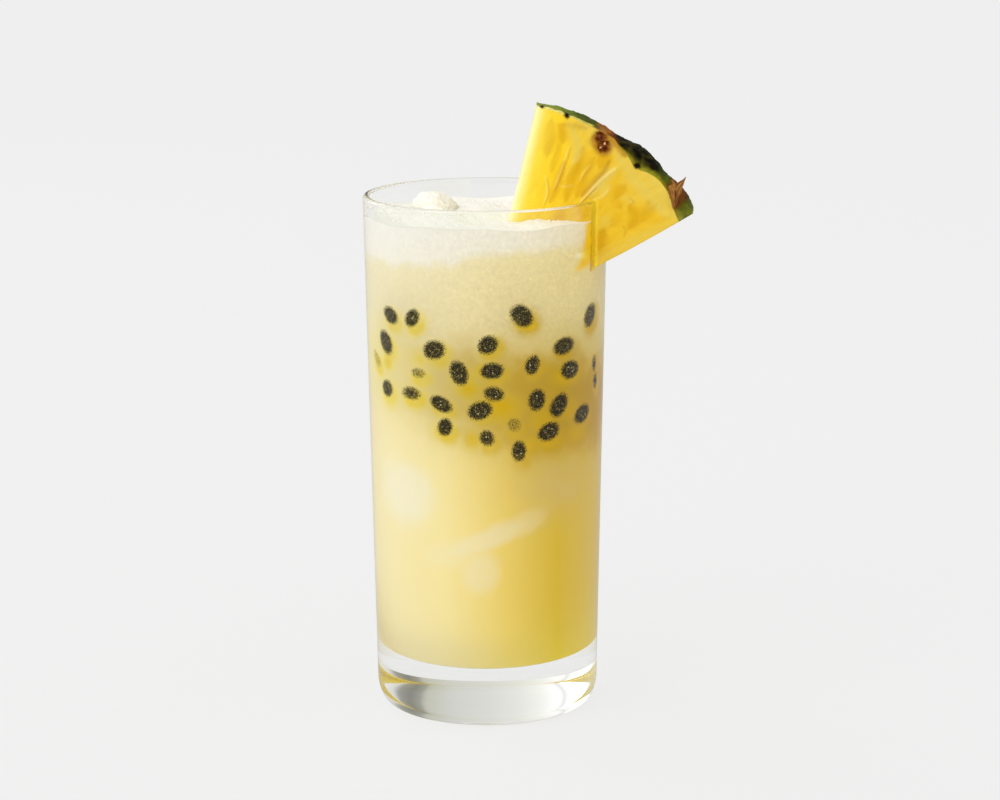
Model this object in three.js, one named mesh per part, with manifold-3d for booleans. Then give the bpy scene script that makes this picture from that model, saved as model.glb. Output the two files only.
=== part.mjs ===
// Passion fruit coconut cooler: a highball glass of milky yellow drink under a head of foam,
// an ice cube that breaks the surface and a pineapple wedge slit over the rim.
// Millimetres, +Z up. The origin is the centre of the glass's flat foot, and -Y faces the viewer.

import * as THREE from 'three';
import { RoundedBoxGeometry } from 'three/addons/geometries/RoundedBoxGeometry.js';
import { mergeVertices } from 'three/addons/utils/BufferGeometryUtils.js';
import Module from 'manifold-3d';

const wasm = await Module();
wasm.setup();

// Clearance between pieces that touch
const GAP = 0.3;

// Glass: a straight cone outside and inside, on a thick base with a rounded foot
const GLASS_HEIGHT = 137;
const RIM_RADIUS = 32;
const BODY_RADIUS = 29.5;
const FOOT_RADIUS = 25.5;
const FOOT_CORNER_HEIGHT = 8;
const RIM_WALL = 1.9;
const BASE_WALL = 2.4;
const FLOOR_HEIGHT = 14;
const FLOOR_CORNER = 12.5;
const MIDDLE_HEIGHT = 70;
const GLASS_SIDES = 96;

// Drink and foam: levels above the foot, and how far their surfaces roll
const FOAM_BOTTOM = 121.6;
const BOUNDARY_SLOPE = [0.055, -0.02];
const BOUNDARY_ROLL = 1.1;
const FOAM_TOP = 130.9;
const FOAM_ROLL = 0.35;
const FOAM_CLIMB = 1.1;
const FILL_SIDES = 72;
const SURFACE_RINGS = 8;

// Ice cube: melted round, with its top corner above the foam
const ICE_SIZE = [15, 13, 14];
const ICE_CORNER = 3.2;
const ICE_TURN = new THREE.Euler(0.62, 0.5, 0.35);
const ICE_CENTRE = new THREE.Vector3(-10.7, 13.6, 126.8);

// Pineapple wedge: a sector of a round slice that faces the viewer, its point down in the drink
const SLICE_RADIUS = 56.1;
const SLICE_THICKNESS = 12;
const WEDGE_CENTRE = new THREE.Vector3(0.5, -14.5, 107.2);
const WEDGE_LOW_ANGLE = 26.4;
const WEDGE_HIGH_ANGLE = 76.5;
const POINT_RADIUS = 2.5;
const LOW_SIDE_BOW = 1.2;
const WEDGE_STEPS = [44, 6, 7];

// Rind: trimmed thin on the high side and left thicker below RIND_START degrees. Each eye is a
// low mound, given as [angle in degrees, place through the thickness from 0 to 1, height in mm]
const RIND_START = 64;
const RIND_GROWTH = 3.2;
const EYES = [
  [30, 0.7, 0.9],
  [45.5, 0.55, 1.1],
  [61, 0.8, 0.5],
];
const EYE_WIDTH = 7;

// Brown pit left by an eye in the front face, and the pointed bract on the rind
const PIT_ANGLE = 56.1;
const PIT_RADIUS = 53.2;
const PIT_SIZE = 2.1;
const BRACT_ANGLE = 35.2;
const BRACT_TIP_RADIUS = 62.7;
const BRACT_LENGTH = 9.5;
const BRACT_WIDTH = 2.6;
const BRACT_DEPTH = 3.5;
const BRACT_LEAN = 14;

// Solid made of a closed geometry
function solidOf(geometry) {
  const bare = geometry.clone();
  bare.deleteAttribute('normal');
  bare.deleteAttribute('uv');
  const merged = mergeVertices(bare, 1e-4);
  const vertProperties = new Float32Array(merged.attributes.position.array);
  const triVerts = new Uint32Array(merged.index.array);
  return new wasm.Manifold(new wasm.Mesh({ numProp: 3, vertProperties, triVerts }));
}

// Geometry made of a solid
function geometryOf(solid) {
  const mesh = solid.getMesh();
  const geometry = new THREE.BufferGeometry();
  geometry.setAttribute('position', new THREE.BufferAttribute(mesh.vertProperties, 3));
  geometry.setIndex(new THREE.BufferAttribute(mesh.triVerts, 1));
  return geometry;
}

// Turned solid about Z from a profile of (radius, height) points that runs anticlockwise
function turned(profile, sides) {
  return new THREE.LatheGeometry(profile, sides).rotateX(Math.PI / 2);
}

// Points along an ellipse from one angle to another, in degrees
function arc(centreR, centreZ, radiusR, radiusZ, from, to, steps) {
  return Array.from({ length: steps + 1 }, (_, i) => {
    const angle = THREE.MathUtils.degToRad(from + ((to - from) * i) / steps);
    return new THREE.Vector2(centreR + radiusR * Math.cos(angle), centreZ + radiusZ * Math.sin(angle));
  });
}

// Outer radius of the glass's wall at a height
function outerRadius(z) {
  const share = (z - FOOT_CORNER_HEIGHT) / (GLASS_HEIGHT - FOOT_CORNER_HEIGHT);
  return THREE.MathUtils.lerp(BODY_RADIUS, RIM_RADIUS, share);
}

// Radius of the glass's bore at a height
function boreRadius(z) {
  const share = (z - FLOOR_HEIGHT) / (GLASS_HEIGHT - FLOOR_HEIGHT);
  return outerRadius(z) - THREE.MathUtils.lerp(BASE_WALL, RIM_WALL, share);
}

// Section of the glass, grown by a clearance round its wall
function glassProfile(grow) {
  const lip = RIM_WALL / 2 + grow;
  const lipZ = GLASS_HEIGHT - RIM_WALL / 2;
  const lipR = (outerRadius(lipZ) + boreRadius(lipZ)) / 2;
  const cornerZ = FLOOR_HEIGHT + FLOOR_CORNER;
  const cornerR = boreRadius(cornerZ) - FLOOR_CORNER;
  const foot = BODY_RADIUS - FOOT_RADIUS + grow;
  return [
    new THREE.Vector2(0, -grow),
    ...arc(FOOT_RADIUS, FOOT_CORNER_HEIGHT, foot, FOOT_CORNER_HEIGHT + grow, -90, 0, 8),
    new THREE.Vector2(outerRadius(MIDDLE_HEIGHT) + grow, MIDDLE_HEIGHT),
    ...arc(lipR, lipZ, lip, lip, 0, 180, 6),
    new THREE.Vector2(boreRadius(MIDDLE_HEIGHT) - grow, MIDDLE_HEIGHT),
    ...arc(cornerR, cornerZ, FLOOR_CORNER - grow, FLOOR_CORNER - grow, 0, -90, 5),
    new THREE.Vector2(0, FLOOR_HEIGHT + grow),
  ];
}

// Radius that contents reach inside the glass
function fillRadius(z) {
  return boreRadius(z) - GAP;
}

// Wave at a distance, from its length in mm and its phase
function wave(distance, length, phase) {
  return Math.sin((2 * Math.PI * distance) / length + phase);
}

// Rolling height of the line between drink and foam
function boundaryHeight(x, y) {
  const slope = BOUNDARY_SLOPE[0] * x + BOUNDARY_SLOPE[1] * y;
  return FOAM_BOTTOM + slope + BOUNDARY_ROLL * wave(x, 47, 0.8) * wave(y, 57, 1.2);
}

// Height of the foam's surface: soft hummocks, and a climb at the glass's wall
function foamHeight(x, y) {
  const hummocks = wave(x + 0.6 * y, 25, 0) + wave(y - 0.4 * x, 21, 1.3);
  const share = Math.hypot(x, y) / fillRadius(FOAM_TOP);
  return FOAM_TOP + FOAM_ROLL * hummocks + FOAM_CLIMB * share ** 8;
}

// Level surface from the wall to the axis, or back, as profile points
function surfaceRings(z, inward) {
  const rings = Array.from({ length: SURFACE_RINGS }, (_, i) => {
    return new THREE.Vector2((fillRadius(z) * i) / SURFACE_RINGS, z);
  });
  return inward ? rings.reverse() : rings;
}

// Moves each vertex that a test picks to a new height, keeping its share of the radius
function roll(geometry, picks, height) {
  const position = geometry.attributes.position;
  const point = new THREE.Vector3();
  for (let i = 0; i < position.count; i++) {
    point.fromBufferAttribute(position, i);
    if (!picks(point)) continue;
    const z = height(point.x, point.y);
    const scale = fillRadius(z) / fillRadius(point.z);
    position.setXYZ(i, point.x * scale, point.y * scale, z);
  }
  return geometry;
}

function drinkBlank() {
  const cornerZ = FLOOR_HEIGHT + FLOOR_CORNER;
  const cornerR = boreRadius(cornerZ) - FLOOR_CORNER;
  const corner = FLOOR_CORNER - GAP;
  const profile = [
    new THREE.Vector2(0, FLOOR_HEIGHT + GAP),
    ...arc(cornerR, cornerZ, corner, corner, -90, 0, 5),
    new THREE.Vector2(fillRadius(MIDDLE_HEIGHT), MIDDLE_HEIGHT),
    new THREE.Vector2(fillRadius(FOAM_BOTTOM), FOAM_BOTTOM),
    ...surfaceRings(FOAM_BOTTOM, true),
  ];
  const isTop = (point) => point.z > FOAM_BOTTOM - 1;
  const height = (x, y) => boundaryHeight(x, y) - GAP / 2;
  return roll(turned(profile, FILL_SIDES), isTop, height);
}

function foamBlank() {
  const profile = [
    ...surfaceRings(FOAM_BOTTOM, false),
    new THREE.Vector2(fillRadius(FOAM_BOTTOM), FOAM_BOTTOM),
    new THREE.Vector2(fillRadius(FOAM_TOP), FOAM_TOP),
    ...surfaceRings(FOAM_TOP, true),
  ];
  const middle = (FOAM_BOTTOM + FOAM_TOP) / 2;
  const geometry = turned(profile, FILL_SIDES);
  roll(geometry, (point) => point.z > middle, foamHeight);
  return roll(geometry, (point) => point.z <= middle, (x, y) => boundaryHeight(x, y) + GAP / 2);
}

// Ice cube, grown by a clearance
function iceBlank(grow) {
  const [width, depth, height] = ICE_SIZE.map((size) => size + 2 * grow);
  const cube = new RoundedBoxGeometry(width, depth, height, 3, ICE_CORNER + grow);
  const turn = new THREE.Matrix4().makeRotationFromEuler(ICE_TURN);
  return cube.applyMatrix4(turn).translate(ICE_CENTRE.x, ICE_CENTRE.y, ICE_CENTRE.z);
}

// Point of the wedge at an angle and radius about the slice's centre, and a depth behind its front face
function wedgePoint(degrees, radius, depth) {
  const angle = THREE.MathUtils.degToRad(degrees);
  const { x, y, z } = WEDGE_CENTRE;
  return new THREE.Vector3(x + radius * Math.cos(angle), y + depth, z + radius * Math.sin(angle));
}

// Radius of the rind at an angle and a place through the thickness
function rindRadius(degrees, through) {
  const mounds = EYES.map(([eyeAngle, eyeThrough, eyeHeight]) => {
    const along = THREE.MathUtils.degToRad(degrees - eyeAngle) * SLICE_RADIUS;
    const across = (through - eyeThrough) * SLICE_THICKNESS;
    const distance = Math.hypot(along, across) / EYE_WIDTH;
    return eyeHeight * Math.max(0, 1 - distance * distance);
  });
  const growth = RIND_GROWTH * THREE.MathUtils.smoothstep(-degrees, -RIND_START, -WEDGE_LOW_ANGLE);
  return SLICE_RADIUS + growth + Math.max(...mounds);
}

// Sector of the slice, grown by a clearance: a box of facets bent round the slice's centre.
// Its low side bows out a little between the point and the rind.
function wedgeBlank(grow, steps) {
  const box = new THREE.BoxGeometry(1, 1, 1, ...steps);
  const position = box.attributes.position;
  for (let i = 0; i < position.count; i++) {
    const across = position.getX(i) + 0.5;
    const through = position.getY(i) + 0.5;
    const share = position.getZ(i) + 0.5;
    const flatAngle = THREE.MathUtils.lerp(WEDGE_HIGH_ANGLE, WEDGE_LOW_ANGLE, across);
    const rind = rindRadius(flatAngle, through) + grow;
    const radius = THREE.MathUtils.lerp(POINT_RADIUS - grow, rind, share);
    const bow = LOW_SIDE_BOW * across * Math.sin(Math.PI * share);
    const outward = grow * (2 * across - 1);
    const degrees = flatAngle - THREE.MathUtils.radToDeg((bow + outward) / radius);
    const depth = THREE.MathUtils.lerp(-grow, SLICE_THICKNESS + grow, through);
    const point = wedgePoint(degrees, radius, depth);
    position.setXYZ(i, point.x, point.y, point.z);
  }
  return box;
}

// Pointed bract that stands out of the rind
function bract() {
  const cone = new THREE.ConeGeometry(BRACT_WIDTH, BRACT_LENGTH, 7).translate(0, -BRACT_LENGTH / 2, 0);
  const tip = wedgePoint(BRACT_ANGLE, BRACT_TIP_RADIUS, BRACT_DEPTH);
  const lean = new THREE.Matrix4().makeRotationY(THREE.MathUtils.degToRad(BRACT_LEAN));
  return cone.rotateX(Math.PI / 2).applyMatrix4(lean).translate(tip.x, tip.y, tip.z);
}

const group = new THREE.Group();
group.name = 'passion_fruit_coconut_cooler';

// Adds a solid to the drink as a named mesh with its own finish
function add(name, geometry, color, roughness) {
  const material = new THREE.MeshStandardMaterial({ color, roughness, metalness: 0, flatShading: true });
  const mesh = new THREE.Mesh(geometry, material);
  mesh.name = name;
  group.add(mesh);
}

const glass = solidOf(turned(glassProfile(0), GLASS_SIDES));
const wall = solidOf(turned(glassProfile(GAP), GLASS_SIDES));
const pit = new THREE.IcosahedronGeometry(PIT_SIZE, 1);
const pitPlace = wedgePoint(PIT_ANGLE, PIT_RADIUS, -0.5 * PIT_SIZE);
pit.translate(pitPlace.x, pitPlace.y, pitPlace.z);

const ice = solidOf(iceBlank(0));
const whole = solidOf(wedgeBlank(0, WEDGE_STEPS)).add(solidOf(bract()));
const wedge = whole.subtract(wall).subtract(solidOf(pit));
const room = solidOf(wedgeBlank(GAP, [1, 1, WEDGE_STEPS[2]])).add(solidOf(iceBlank(GAP)));
const drink = solidOf(drinkBlank()).subtract(room);
const foam = solidOf(foamBlank()).subtract(room);

add('glass', geometryOf(glass), 0xf2f5f4, 0.04);
add('drink', geometryOf(drink), 0xf0dfa0, 0.35);
add('foam', geometryOf(foam), 0xf7f3ea, 0.7);
add('ice_cube', geometryOf(ice), 0xf1f1ea, 0.25);
add('pineapple_wedge', geometryOf(wedge), 0xf2cf3d, 0.4);

export default group;
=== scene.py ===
"""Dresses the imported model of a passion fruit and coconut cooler.

A straight highball glass holds a milky drink with a head of foam, passion fruit seeds against the
wall, ice and a pineapple wedge that is slit over the rim. Shapes are worked out in millimetres and
written to the meshes in metres. Heights stand on the table, and the viewer looks along +Y.
"""

import math
import random

import bmesh
import bpy
import numpy as np
from bpy.props import (
    FloatProperty,
    FloatVectorProperty,
    IntProperty,
    PointerProperty,
)
from mathutils import Euler, Matrix, Vector, noise


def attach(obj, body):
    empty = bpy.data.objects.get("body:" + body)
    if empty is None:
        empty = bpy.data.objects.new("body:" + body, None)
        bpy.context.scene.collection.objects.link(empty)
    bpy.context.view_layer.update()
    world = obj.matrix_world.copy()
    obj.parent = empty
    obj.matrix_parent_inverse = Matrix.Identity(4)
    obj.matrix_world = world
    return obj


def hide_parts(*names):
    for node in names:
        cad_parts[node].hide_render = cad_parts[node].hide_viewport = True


bl_info = {
    "name": "Passion Fruit Coconut Cooler",
    "version": (1, 0, 0),
    "blender": (4, 5, 0),
    "location": "3D View > Sidebar > Cooler",
    "description": "Dresses the packed glass, drink, foam, ice and pineapple wedge",
    "category": "Add Mesh",
}

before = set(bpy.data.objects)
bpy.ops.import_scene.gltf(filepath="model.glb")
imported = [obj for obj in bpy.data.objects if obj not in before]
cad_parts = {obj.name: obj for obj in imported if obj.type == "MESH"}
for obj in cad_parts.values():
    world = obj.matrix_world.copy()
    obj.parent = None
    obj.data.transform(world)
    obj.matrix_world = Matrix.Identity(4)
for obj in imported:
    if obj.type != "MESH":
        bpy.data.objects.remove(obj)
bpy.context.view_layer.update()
MM = 0.001
# Radius of the glass's inner corner at the floor, in mm
FLOOR_CORNER = 12.5
# Heights of the line between drink and foam and of the foam's top in the middle, in mm
FOAM_LINE, FOAM_TOP = 121.6, 130.9
# How far the drink and the foam reach into the wall of the glass, in mm
BITE = 0.05
# Tint of the flesh that lies against the wall
WEDGE_TINT = "#fad60a"

# Camera of the photograph: distance, height of its aim in m, angles in degrees, lens in mm
CAMERA_AWAY, CAMERA_AIM = 0.8, 0.0685
CAMERA_RISE, CAMERA_YAW, CAMERA_PITCH, CAMERA_ROLL = 12.946, 0.2653, 0.9291, -0.2805
LENS, SENSOR = 108.1475, 36.0
PHOTO_WIDTH, PHOTO_HEIGHT = 1000, 800
GLASS_INDEX = 1.5
# Largest seed, in mm: near the sides a seed is seen end on, and its length can't be read well
SEED_LENGTH, SEED_WIDTH = 6.4, 4.8

# Seeds pressed to the wall in front, in pixels of the photograph: column, row, length, width, tilt in
# degrees and clearness. They were read one by one, and the sizes of a few were set against renders. A
# clearness under 0.6 is a seed veiled by the drink.
SEED_PIXELS = (
    (390.5, 315, 17, 12, -20, 0.95),
    (412, 318, 18.5, 12.5, 25, 0.95),
    (386, 342, 26, 10.5, -14, 1.0),
    (434, 350, 21, 18, 70, 1.0),
    (377, 358, 17, 5, -15, 0.4),
    (418, 373, 14, 10, 90, 0.55),
    (387.5, 388, 16, 9.5, 0, 0.95),
    (411, 393, 18, 13, 90, 0.75),
    (441, 404, 22, 14, -65, 1.0),
    (459, 373, 24, 16.5, -18, 1.0),
    (488, 345, 20, 17, 55, 1.0),
    (492, 371, 22, 15.5, 85, 1.0),
    (494, 394, 20, 14, -75, 0.9),
    (480, 410.5, 24, 17.5, 72, 1.0),
    (445, 427, 17, 14, 15, 1.0),
    (487, 438, 16, 14.5, -30, 0.85),
    (519, 451, 20, 14, 0, 0.9),
    (514.5, 425, 15, 13, -45, 0.45),
    (522, 316, 25, 18, -42, 1.0),
    (532.5, 365, 19, 14, 15, 0.9),
    (537, 400, 21, 16, 8, 1.0),
    (564, 346, 22, 16.5, 75, 1.0),
    (570, 369.5, 17.5, 16.5, 0, 1.0),
    (559, 405, 23, 16, 20, 1.0),
    (549, 431.5, 21, 17, 65, 1.0),
    (582, 413.5, 20, 14, 35, 1.0),
    (590, 315, 23, 11, 5, 0.9),
    (594, 363, 17, 4, 0, 0.6),
    (595, 380, 17, 4, 0, 0.6),
)
# Smears of orange pulp on the wall: azimuth, height, half length round, half height, strength
PULP = (
    (6.9, 86.0, 7.0, 4.6, 0.95),
    (44.0, 92.6, 6.5, 3.4, 0.9),
    (-8.6, 91.0, 3.6, 3.4, 0.8),
    (-1.0, 95.5, 3.8, 3.0, 0.6),
    (-22.0, 79.2, 3.4, 3.0, 0.5),
    (-7.0, 77.6, 3.2, 3.4, 0.5),
    (22.0, 107.0, 2.6, 2.2, 0.8),
    (23.0, 75.5, 5.0, 4.0, 0.6),
    (34.0, 76.0, 6.0, 3.6, 0.65),
    (52.0, 77.0, 6.0, 4.0, 0.6),
    (-57.0, 95.4, 2.6, 2.4, 0.6),
    (-34.0, 97.8, 3.2, 2.6, 0.35),
    (30.0, 82.0, 5.0, 4.0, 0.8),
    (47.0, 83.5, 4.6, 4.4, 0.6),
    (-36.0, 88.0, 4.4, 2.6, 0.35),
    (33.0, 95.0, 3.6, 2.4, 0.4),
    (-56.0, 85.0, 3.0, 2.2, 0.4),
    (15.0, 79.0, 4.2, 3.2, 0.5),
    (0.0, 90.5, 9.0, 8.0, 0.35),
    (38.0, 88.0, 10.0, 8.0, 0.35),
)
# Patches of painted shade: greyer, darker drink below the seeds and low on the left, given as the smears are
PAINTED_SHADE = (
    (38.0, 64.0, 12.0, 9.0, 0.8),
    (-78.0, 22.0, 8.0, 12.0, 0.5),
)
# Ice that shows as pale shapes through the drink: azimuth, height, half length, half height, tilt, strength
SUNK_ICE = (
    (-47.0, 61.5, 9.0, 8.0, 10, 0.95),
    (2.0, 51.4, 13.5, 2.6, -22, 0.62),
    (-3.5, 41.8, 4.4, 5.4, 12, 0.5),
    (20.0, 55.0, 6.0, 3.0, -24, 0.4),
    (-20.0, 46.5, 7.0, 3.4, -14, 0.3),
    (118.0, 58.0, 9.0, 7.0, -20, 0.6),
    (165.0, 47.0, 8.0, 6.0, 14, 0.6),
    (-140.0, 66.0, 8.5, 6.5, 30, 0.6),
    (-105.0, 40.0, 7.0, 5.0, -10, 0.5),
)


def srgb(code):
    """The linear colour of an sRGB hex code, with alpha."""
    channels = [int(code[i : i + 2], 16) / 255 for i in (1, 3, 5)]
    return tuple(c / 12.92 if c <= 0.04045 else ((c + 0.055) / 1.055) ** 2.4 for c in channels) + (1.0,)


def colour(name, description, code):
    return FloatVectorProperty(
        name=name, description=description, subtype="COLOR", size=4, min=0, max=1, default=srgb(code)
    )


class GlassSettings(bpy.types.PropertyGroup):
    rim_radius: FloatProperty(
        name="Rim radius", description="Outer radius at the lip", default=0.032, unit="LENGTH"
    )
    body_radius: FloatProperty(
        name="Body radius", description="Outer radius above the foot", default=0.0295, unit="LENGTH"
    )
    height: FloatProperty(
        name="Height", description="Table to lip", default=0.137, unit="LENGTH"
    )
    floor: FloatProperty(
        name="Base thickness", description="Table to the floor inside", default=0.014, unit="LENGTH"
    )
    punt: FloatProperty(
        name="Punt", description="Rise of the hollow under the glass", default=0.0018, unit="LENGTH"
    )
    tint: colour("Tint", "Colour of the glass", "#fbfcfa")


class DrinkSettings(bpy.types.PropertyGroup):
    # Colours by side are painted light and shade: pale towards the light on the left and deeper away from
    # it, so too under the foam, by the seeds and for thin pulp
    lit: colour("Lit side", "Milky drink towards the light", "#faf2cf")
    pale: colour("Pale side", "Milky drink left of the middle", "#fdf3c1")
    middle: colour("Middle", "Milky drink in front", "#f8e588")
    deep: colour("Deep side", "Milky drink right of the middle", "#edd54c")
    shaded: colour("Far side", "Milky drink away from the light", "#efd96e")
    lit_head: colour("Lit side under the foam", "Paler drink above the seeds", "#f7f0d4")
    middle_head: colour("Middle under the foam", "Paler drink above the seeds", "#f8edc1")
    shaded_head: colour("Far side under the foam", "Paler drink above the seeds", "#f8eebb")
    lit_seeds: colour("Lit side by the seeds", "Drink that the pulp has stained", "#faf2c4")
    middle_seeds: colour("Middle by the seeds", "Drink that the pulp has stained", "#dfbe45")
    shaded_seeds: colour("Far side by the seeds", "Drink that the pulp has stained", "#dab52a")
    ice: colour("Sunk ice", "Pale ice behind the drink", "#faf7e6")
    # Painted shade: the colour of the greyer patches of the drink
    dusk: colour("Dull drink", "Greyer drink on the side away from the light", "#e9d694")
    under: colour("Underside", "Drink that rests on the floor of the glass", "#e9e6d6")
    thin_pulp: colour("Thin pulp", "Pulp thinned by the milk", "#f8ea78")
    shaded_pulp: colour("Shaded thin pulp", "Thinned pulp away from the light", "#dfbe38")
    pulp: colour("Pulp", "Passion fruit pulp by the seeds", "#f3cf0a")


class SeedSettings(bpy.types.PropertyGroup):
    kernel: colour("Seed", "Wet seed coat", "#2b2712")
    fleck: colour("Fleck", "Drop of drink held on the seed", "#b3a862")
    # Painted highlight: a few drops on each seed are painted as glints
    painted_glint: colour("Glint", "Bead of drink that catches the light", "#f6f0c4")
    behind: IntProperty(name="Seeds behind", description="Seeds round the back of the glass", default=34)


class FoamSettings(bpy.types.PropertyGroup):
    # Lit, middle and shaded foam are painted light and shade: whiter towards the light, duller away from it
    lit: colour("Lit foam", "Coconut foam towards the light", "#fbf9f4")
    middle: colour("Foam in front", "Coconut foam in the middle", "#fbf7ec")
    shaded: colour("Shaded foam", "Coconut foam away from the light", "#fbf6e0")
    crown: colour("Open foam", "Top of the foam, in the air", "#f3f1e8")
    bubbles: IntProperty(name="Bubbles", description="Bubbles on the foam", default=1600)


class IceSettings(bpy.types.PropertyGroup):
    frost: colour("Frost", "Frothy crown of the ice", "#f2eee2")
    body: colour("Body", "Ice with the drink behind it", "#d8d4bc")


class WedgeSettings(bpy.types.PropertyGroup):
    thickness: FloatProperty(
        name="Thickness", description="Cut face to cut face", default=0.012, unit="LENGTH"
    )
    # Lit edge, lemon and bright flesh are painted light: the flesh runs paler and glows towards the left cut
    # edge
    glow: colour("Lit edge", "Thin edge that the light shines through", "#fbf3b0")
    lemon: colour("Lemon flesh", "Flesh next to the lit edge", "#fae04a")
    bright: colour("Bright flesh", "Flesh towards the light", "#f3cc1c")
    flesh: colour("Flesh", "Ripe flesh", "#e9bf26")
    deep: colour("Deep flesh", "Juiciest flesh", "#d9a602")
    pale: colour("Pale flesh", "Flesh by the skin", "#dfc556")
    # Tan by the pit is the flesh's own colour, and in the cracks the same colour is painted shadow
    tan: colour("Tan flesh", "Flesh by the pit and in the cracks", "#b8841c")
    # Paler fibres: partly their own tone, partly painted highlight on the ridges
    fibre: colour("Fibre", "Raised fibres", "#fbeb9c")
    eye: colour("Eye", "Dark spots of the skin", "#1c1206")
    bract: colour("Bract", "Dry scale on an eye", "#a8763a")


class StageSettings(bpy.types.PropertyGroup):
    floor: colour("Floor", "Pale seamless floor", "#efefef")
    key: FloatProperty(name="Key light", description="Power of the soft key", default=4.0, unit="POWER")


def ease(low, high, value):
    """Smooth step from 0 at low to 1 at high."""
    share = np.clip((value - low) / (high - low), 0, 1)
    return share * share * (3 - 2 * share)


def mix(a, b, share):
    """Blend of two colours or numbers, point by point."""
    share = np.asarray(share)[..., None] if np.ndim(a) or np.ndim(b) else share
    return np.asarray(a) * (1 - share) + np.asarray(b) * share


def rough(points, size, seed, octaves=3):
    """Fractal noise, about -1 to 1, of lumps as wide as size, in mm."""
    shift = Vector((seed * 17.3, seed * 5.1, seed * 9.7))
    return np.array([noise.fractal(Vector(p) / size + shift, 0.8, 2.0, octaves) for p in points])


def outer_radius(z):
    return 29.5 + 2.5 * (z - 8) / 129


def bore_radius(z):
    return outer_radius(z) - (2.4 - 0.5 * (z - 14) / 123)


def wave(distance, length, phase):
    return np.sin(math.tau * distance / length + phase)


def boundary_height(x, y):
    """Height of the line between drink and foam, as in the solids."""
    return FOAM_LINE + 0.055 * x - 0.02 * y + 1.1 * wave(x, 47, 0.8) * wave(y, 57, 1.2)


def foam_height(x, y):
    """Height of the foam's top, which climbs the wall."""
    roll = 0.35 * (wave(x + 0.6 * y, 25, 0) + wave(y - 0.4 * x, 21, 1.3))
    return FOAM_TOP + roll + 1.1 * (np.hypot(x, y) / 29.6) ** 8


def camera_axes():
    """Place in m of the photograph's camera, and the ways right, up and forward from it."""
    rise, yaw, pitch, roll = (math.radians(a) for a in (CAMERA_RISE, CAMERA_YAW, CAMERA_PITCH, CAMERA_ROLL))
    place = Vector((0, -CAMERA_AWAY * math.cos(rise), CAMERA_AIM + CAMERA_AWAY * math.sin(rise)))
    forward = Vector((0, math.cos(rise), -math.sin(rise)))
    right = Vector((1, 0, 0))
    up = right.cross(forward)
    forward, right = (
        forward * math.cos(yaw) + right * math.sin(yaw),
        right * math.cos(yaw) - forward * math.sin(yaw),
    )
    forward, up = (
        forward * math.cos(pitch) + up * math.sin(pitch),
        up * math.cos(pitch) - forward * math.sin(pitch),
    )
    right, up = (
        right * math.cos(roll) + up * math.sin(roll),
        up * math.cos(roll) - right * math.sin(roll),
    )
    return place, right, up, forward


def meeting(start, way, radius):
    """Where a ray in mm first meets a round wall whose radius depends on the height."""
    flat = way.x**2 + way.y**2
    half = (start.x * way.x + start.y * way.y) / flat
    step = -half
    for _ in range(8):
        apart = (start.x**2 + start.y**2 - radius(start.z + way.z * step) ** 2) / flat
        step = -half - math.sqrt(max(half * half - apart, 0))
    return start + way * step


def seen_on_wall(column, row):
    """Azimuth in degrees and height in mm of what a pixel of the photograph shows on the inner wall."""
    place, right, up, forward = camera_axes()
    focus = PHOTO_WIDTH * LENS / SENSOR
    way = forward + right * ((column - PHOTO_WIDTH / 2) / focus) - up * ((row - PHOTO_HEIGHT / 2) / focus)
    way.normalize()
    at = meeting(place / MM, way, outer_radius)
    out = Vector((at.x, at.y, 0)).normalized()
    # The ray bends where it enters the glass
    facing = -way.dot(out)
    ahead = math.sqrt(1 - (1 - facing**2) / GLASS_INDEX**2)
    way = way / GLASS_INDEX + out * (facing / GLASS_INDEX - ahead)
    at = meeting(at, way, bore_radius)
    return math.degrees(math.atan2(at.x, -at.y)), at.z


def seed_on_wall(column, row, length, width, tilt, clear):
    """Azimuth, height, length, width, tilt and clearness on the wall of a seed read off the photograph."""
    azimuth, height = seen_on_wall(column, row)
    # A pixel covers more of the wall towards the sides, which turns and widens the seed's outline
    left, right = (seen_on_wall(column + step, row)[0] for step in (-1, 1))
    below, above = (seen_on_wall(column, row + step)[1] for step in (1, -1))
    round_step = math.radians(right - left) / 2 * bore_radius(height)
    turn = math.radians(tilt)
    long_way = (math.sin(turn) * round_step, math.cos(turn) * (above - below) / 2)
    wide_way = (math.cos(turn) * round_step, -math.sin(turn) * (above - below) / 2)
    outline = np.array([np.array(long_way) * length, np.array(wide_way) * width]).T
    axes, sizes, _ = np.linalg.svd(outline)
    tilt = math.degrees(math.atan2(axes[0, 0], axes[1, 0]))
    tilt = (tilt + 90) % 180 - 90
    return azimuth, height, min(sizes[0], SEED_LENGTH), min(sizes[1], SEED_WIDTH), tilt, clear


def front_seeds():
    return [seed_on_wall(*pixels) for pixels in SEED_PIXELS]


def arc(cx, cz, rx, rz, start, end, steps):
    """Points of an arc from start to end degrees about a centre."""
    angles = np.radians(np.linspace(start, end, steps + 1))
    return [(cx + rx * math.cos(a), cz + rz * math.sin(a)) for a in angles]


def spun(profile, steps):
    """A closed lathe shape in mm from radius and height pairs that start and end on the axis."""
    bm = bmesh.new()
    verts = [bm.verts.new((radius, 0, z)) for radius, z in profile]
    edges = [bm.edges.new(pair) for pair in zip(verts, verts[1:])]
    bmesh.ops.spin(
        bm, geom=verts + edges, cent=(0, 0, 0), axis=(0, 0, 1), dvec=(0, 0, 0),
        angle=math.tau, steps=steps, use_merge=True,
    )
    bmesh.ops.remove_doubles(bm, verts=bm.verts, dist=1e-4)
    bmesh.ops.recalc_face_normals(bm, faces=bm.faces)
    return bm


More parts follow.
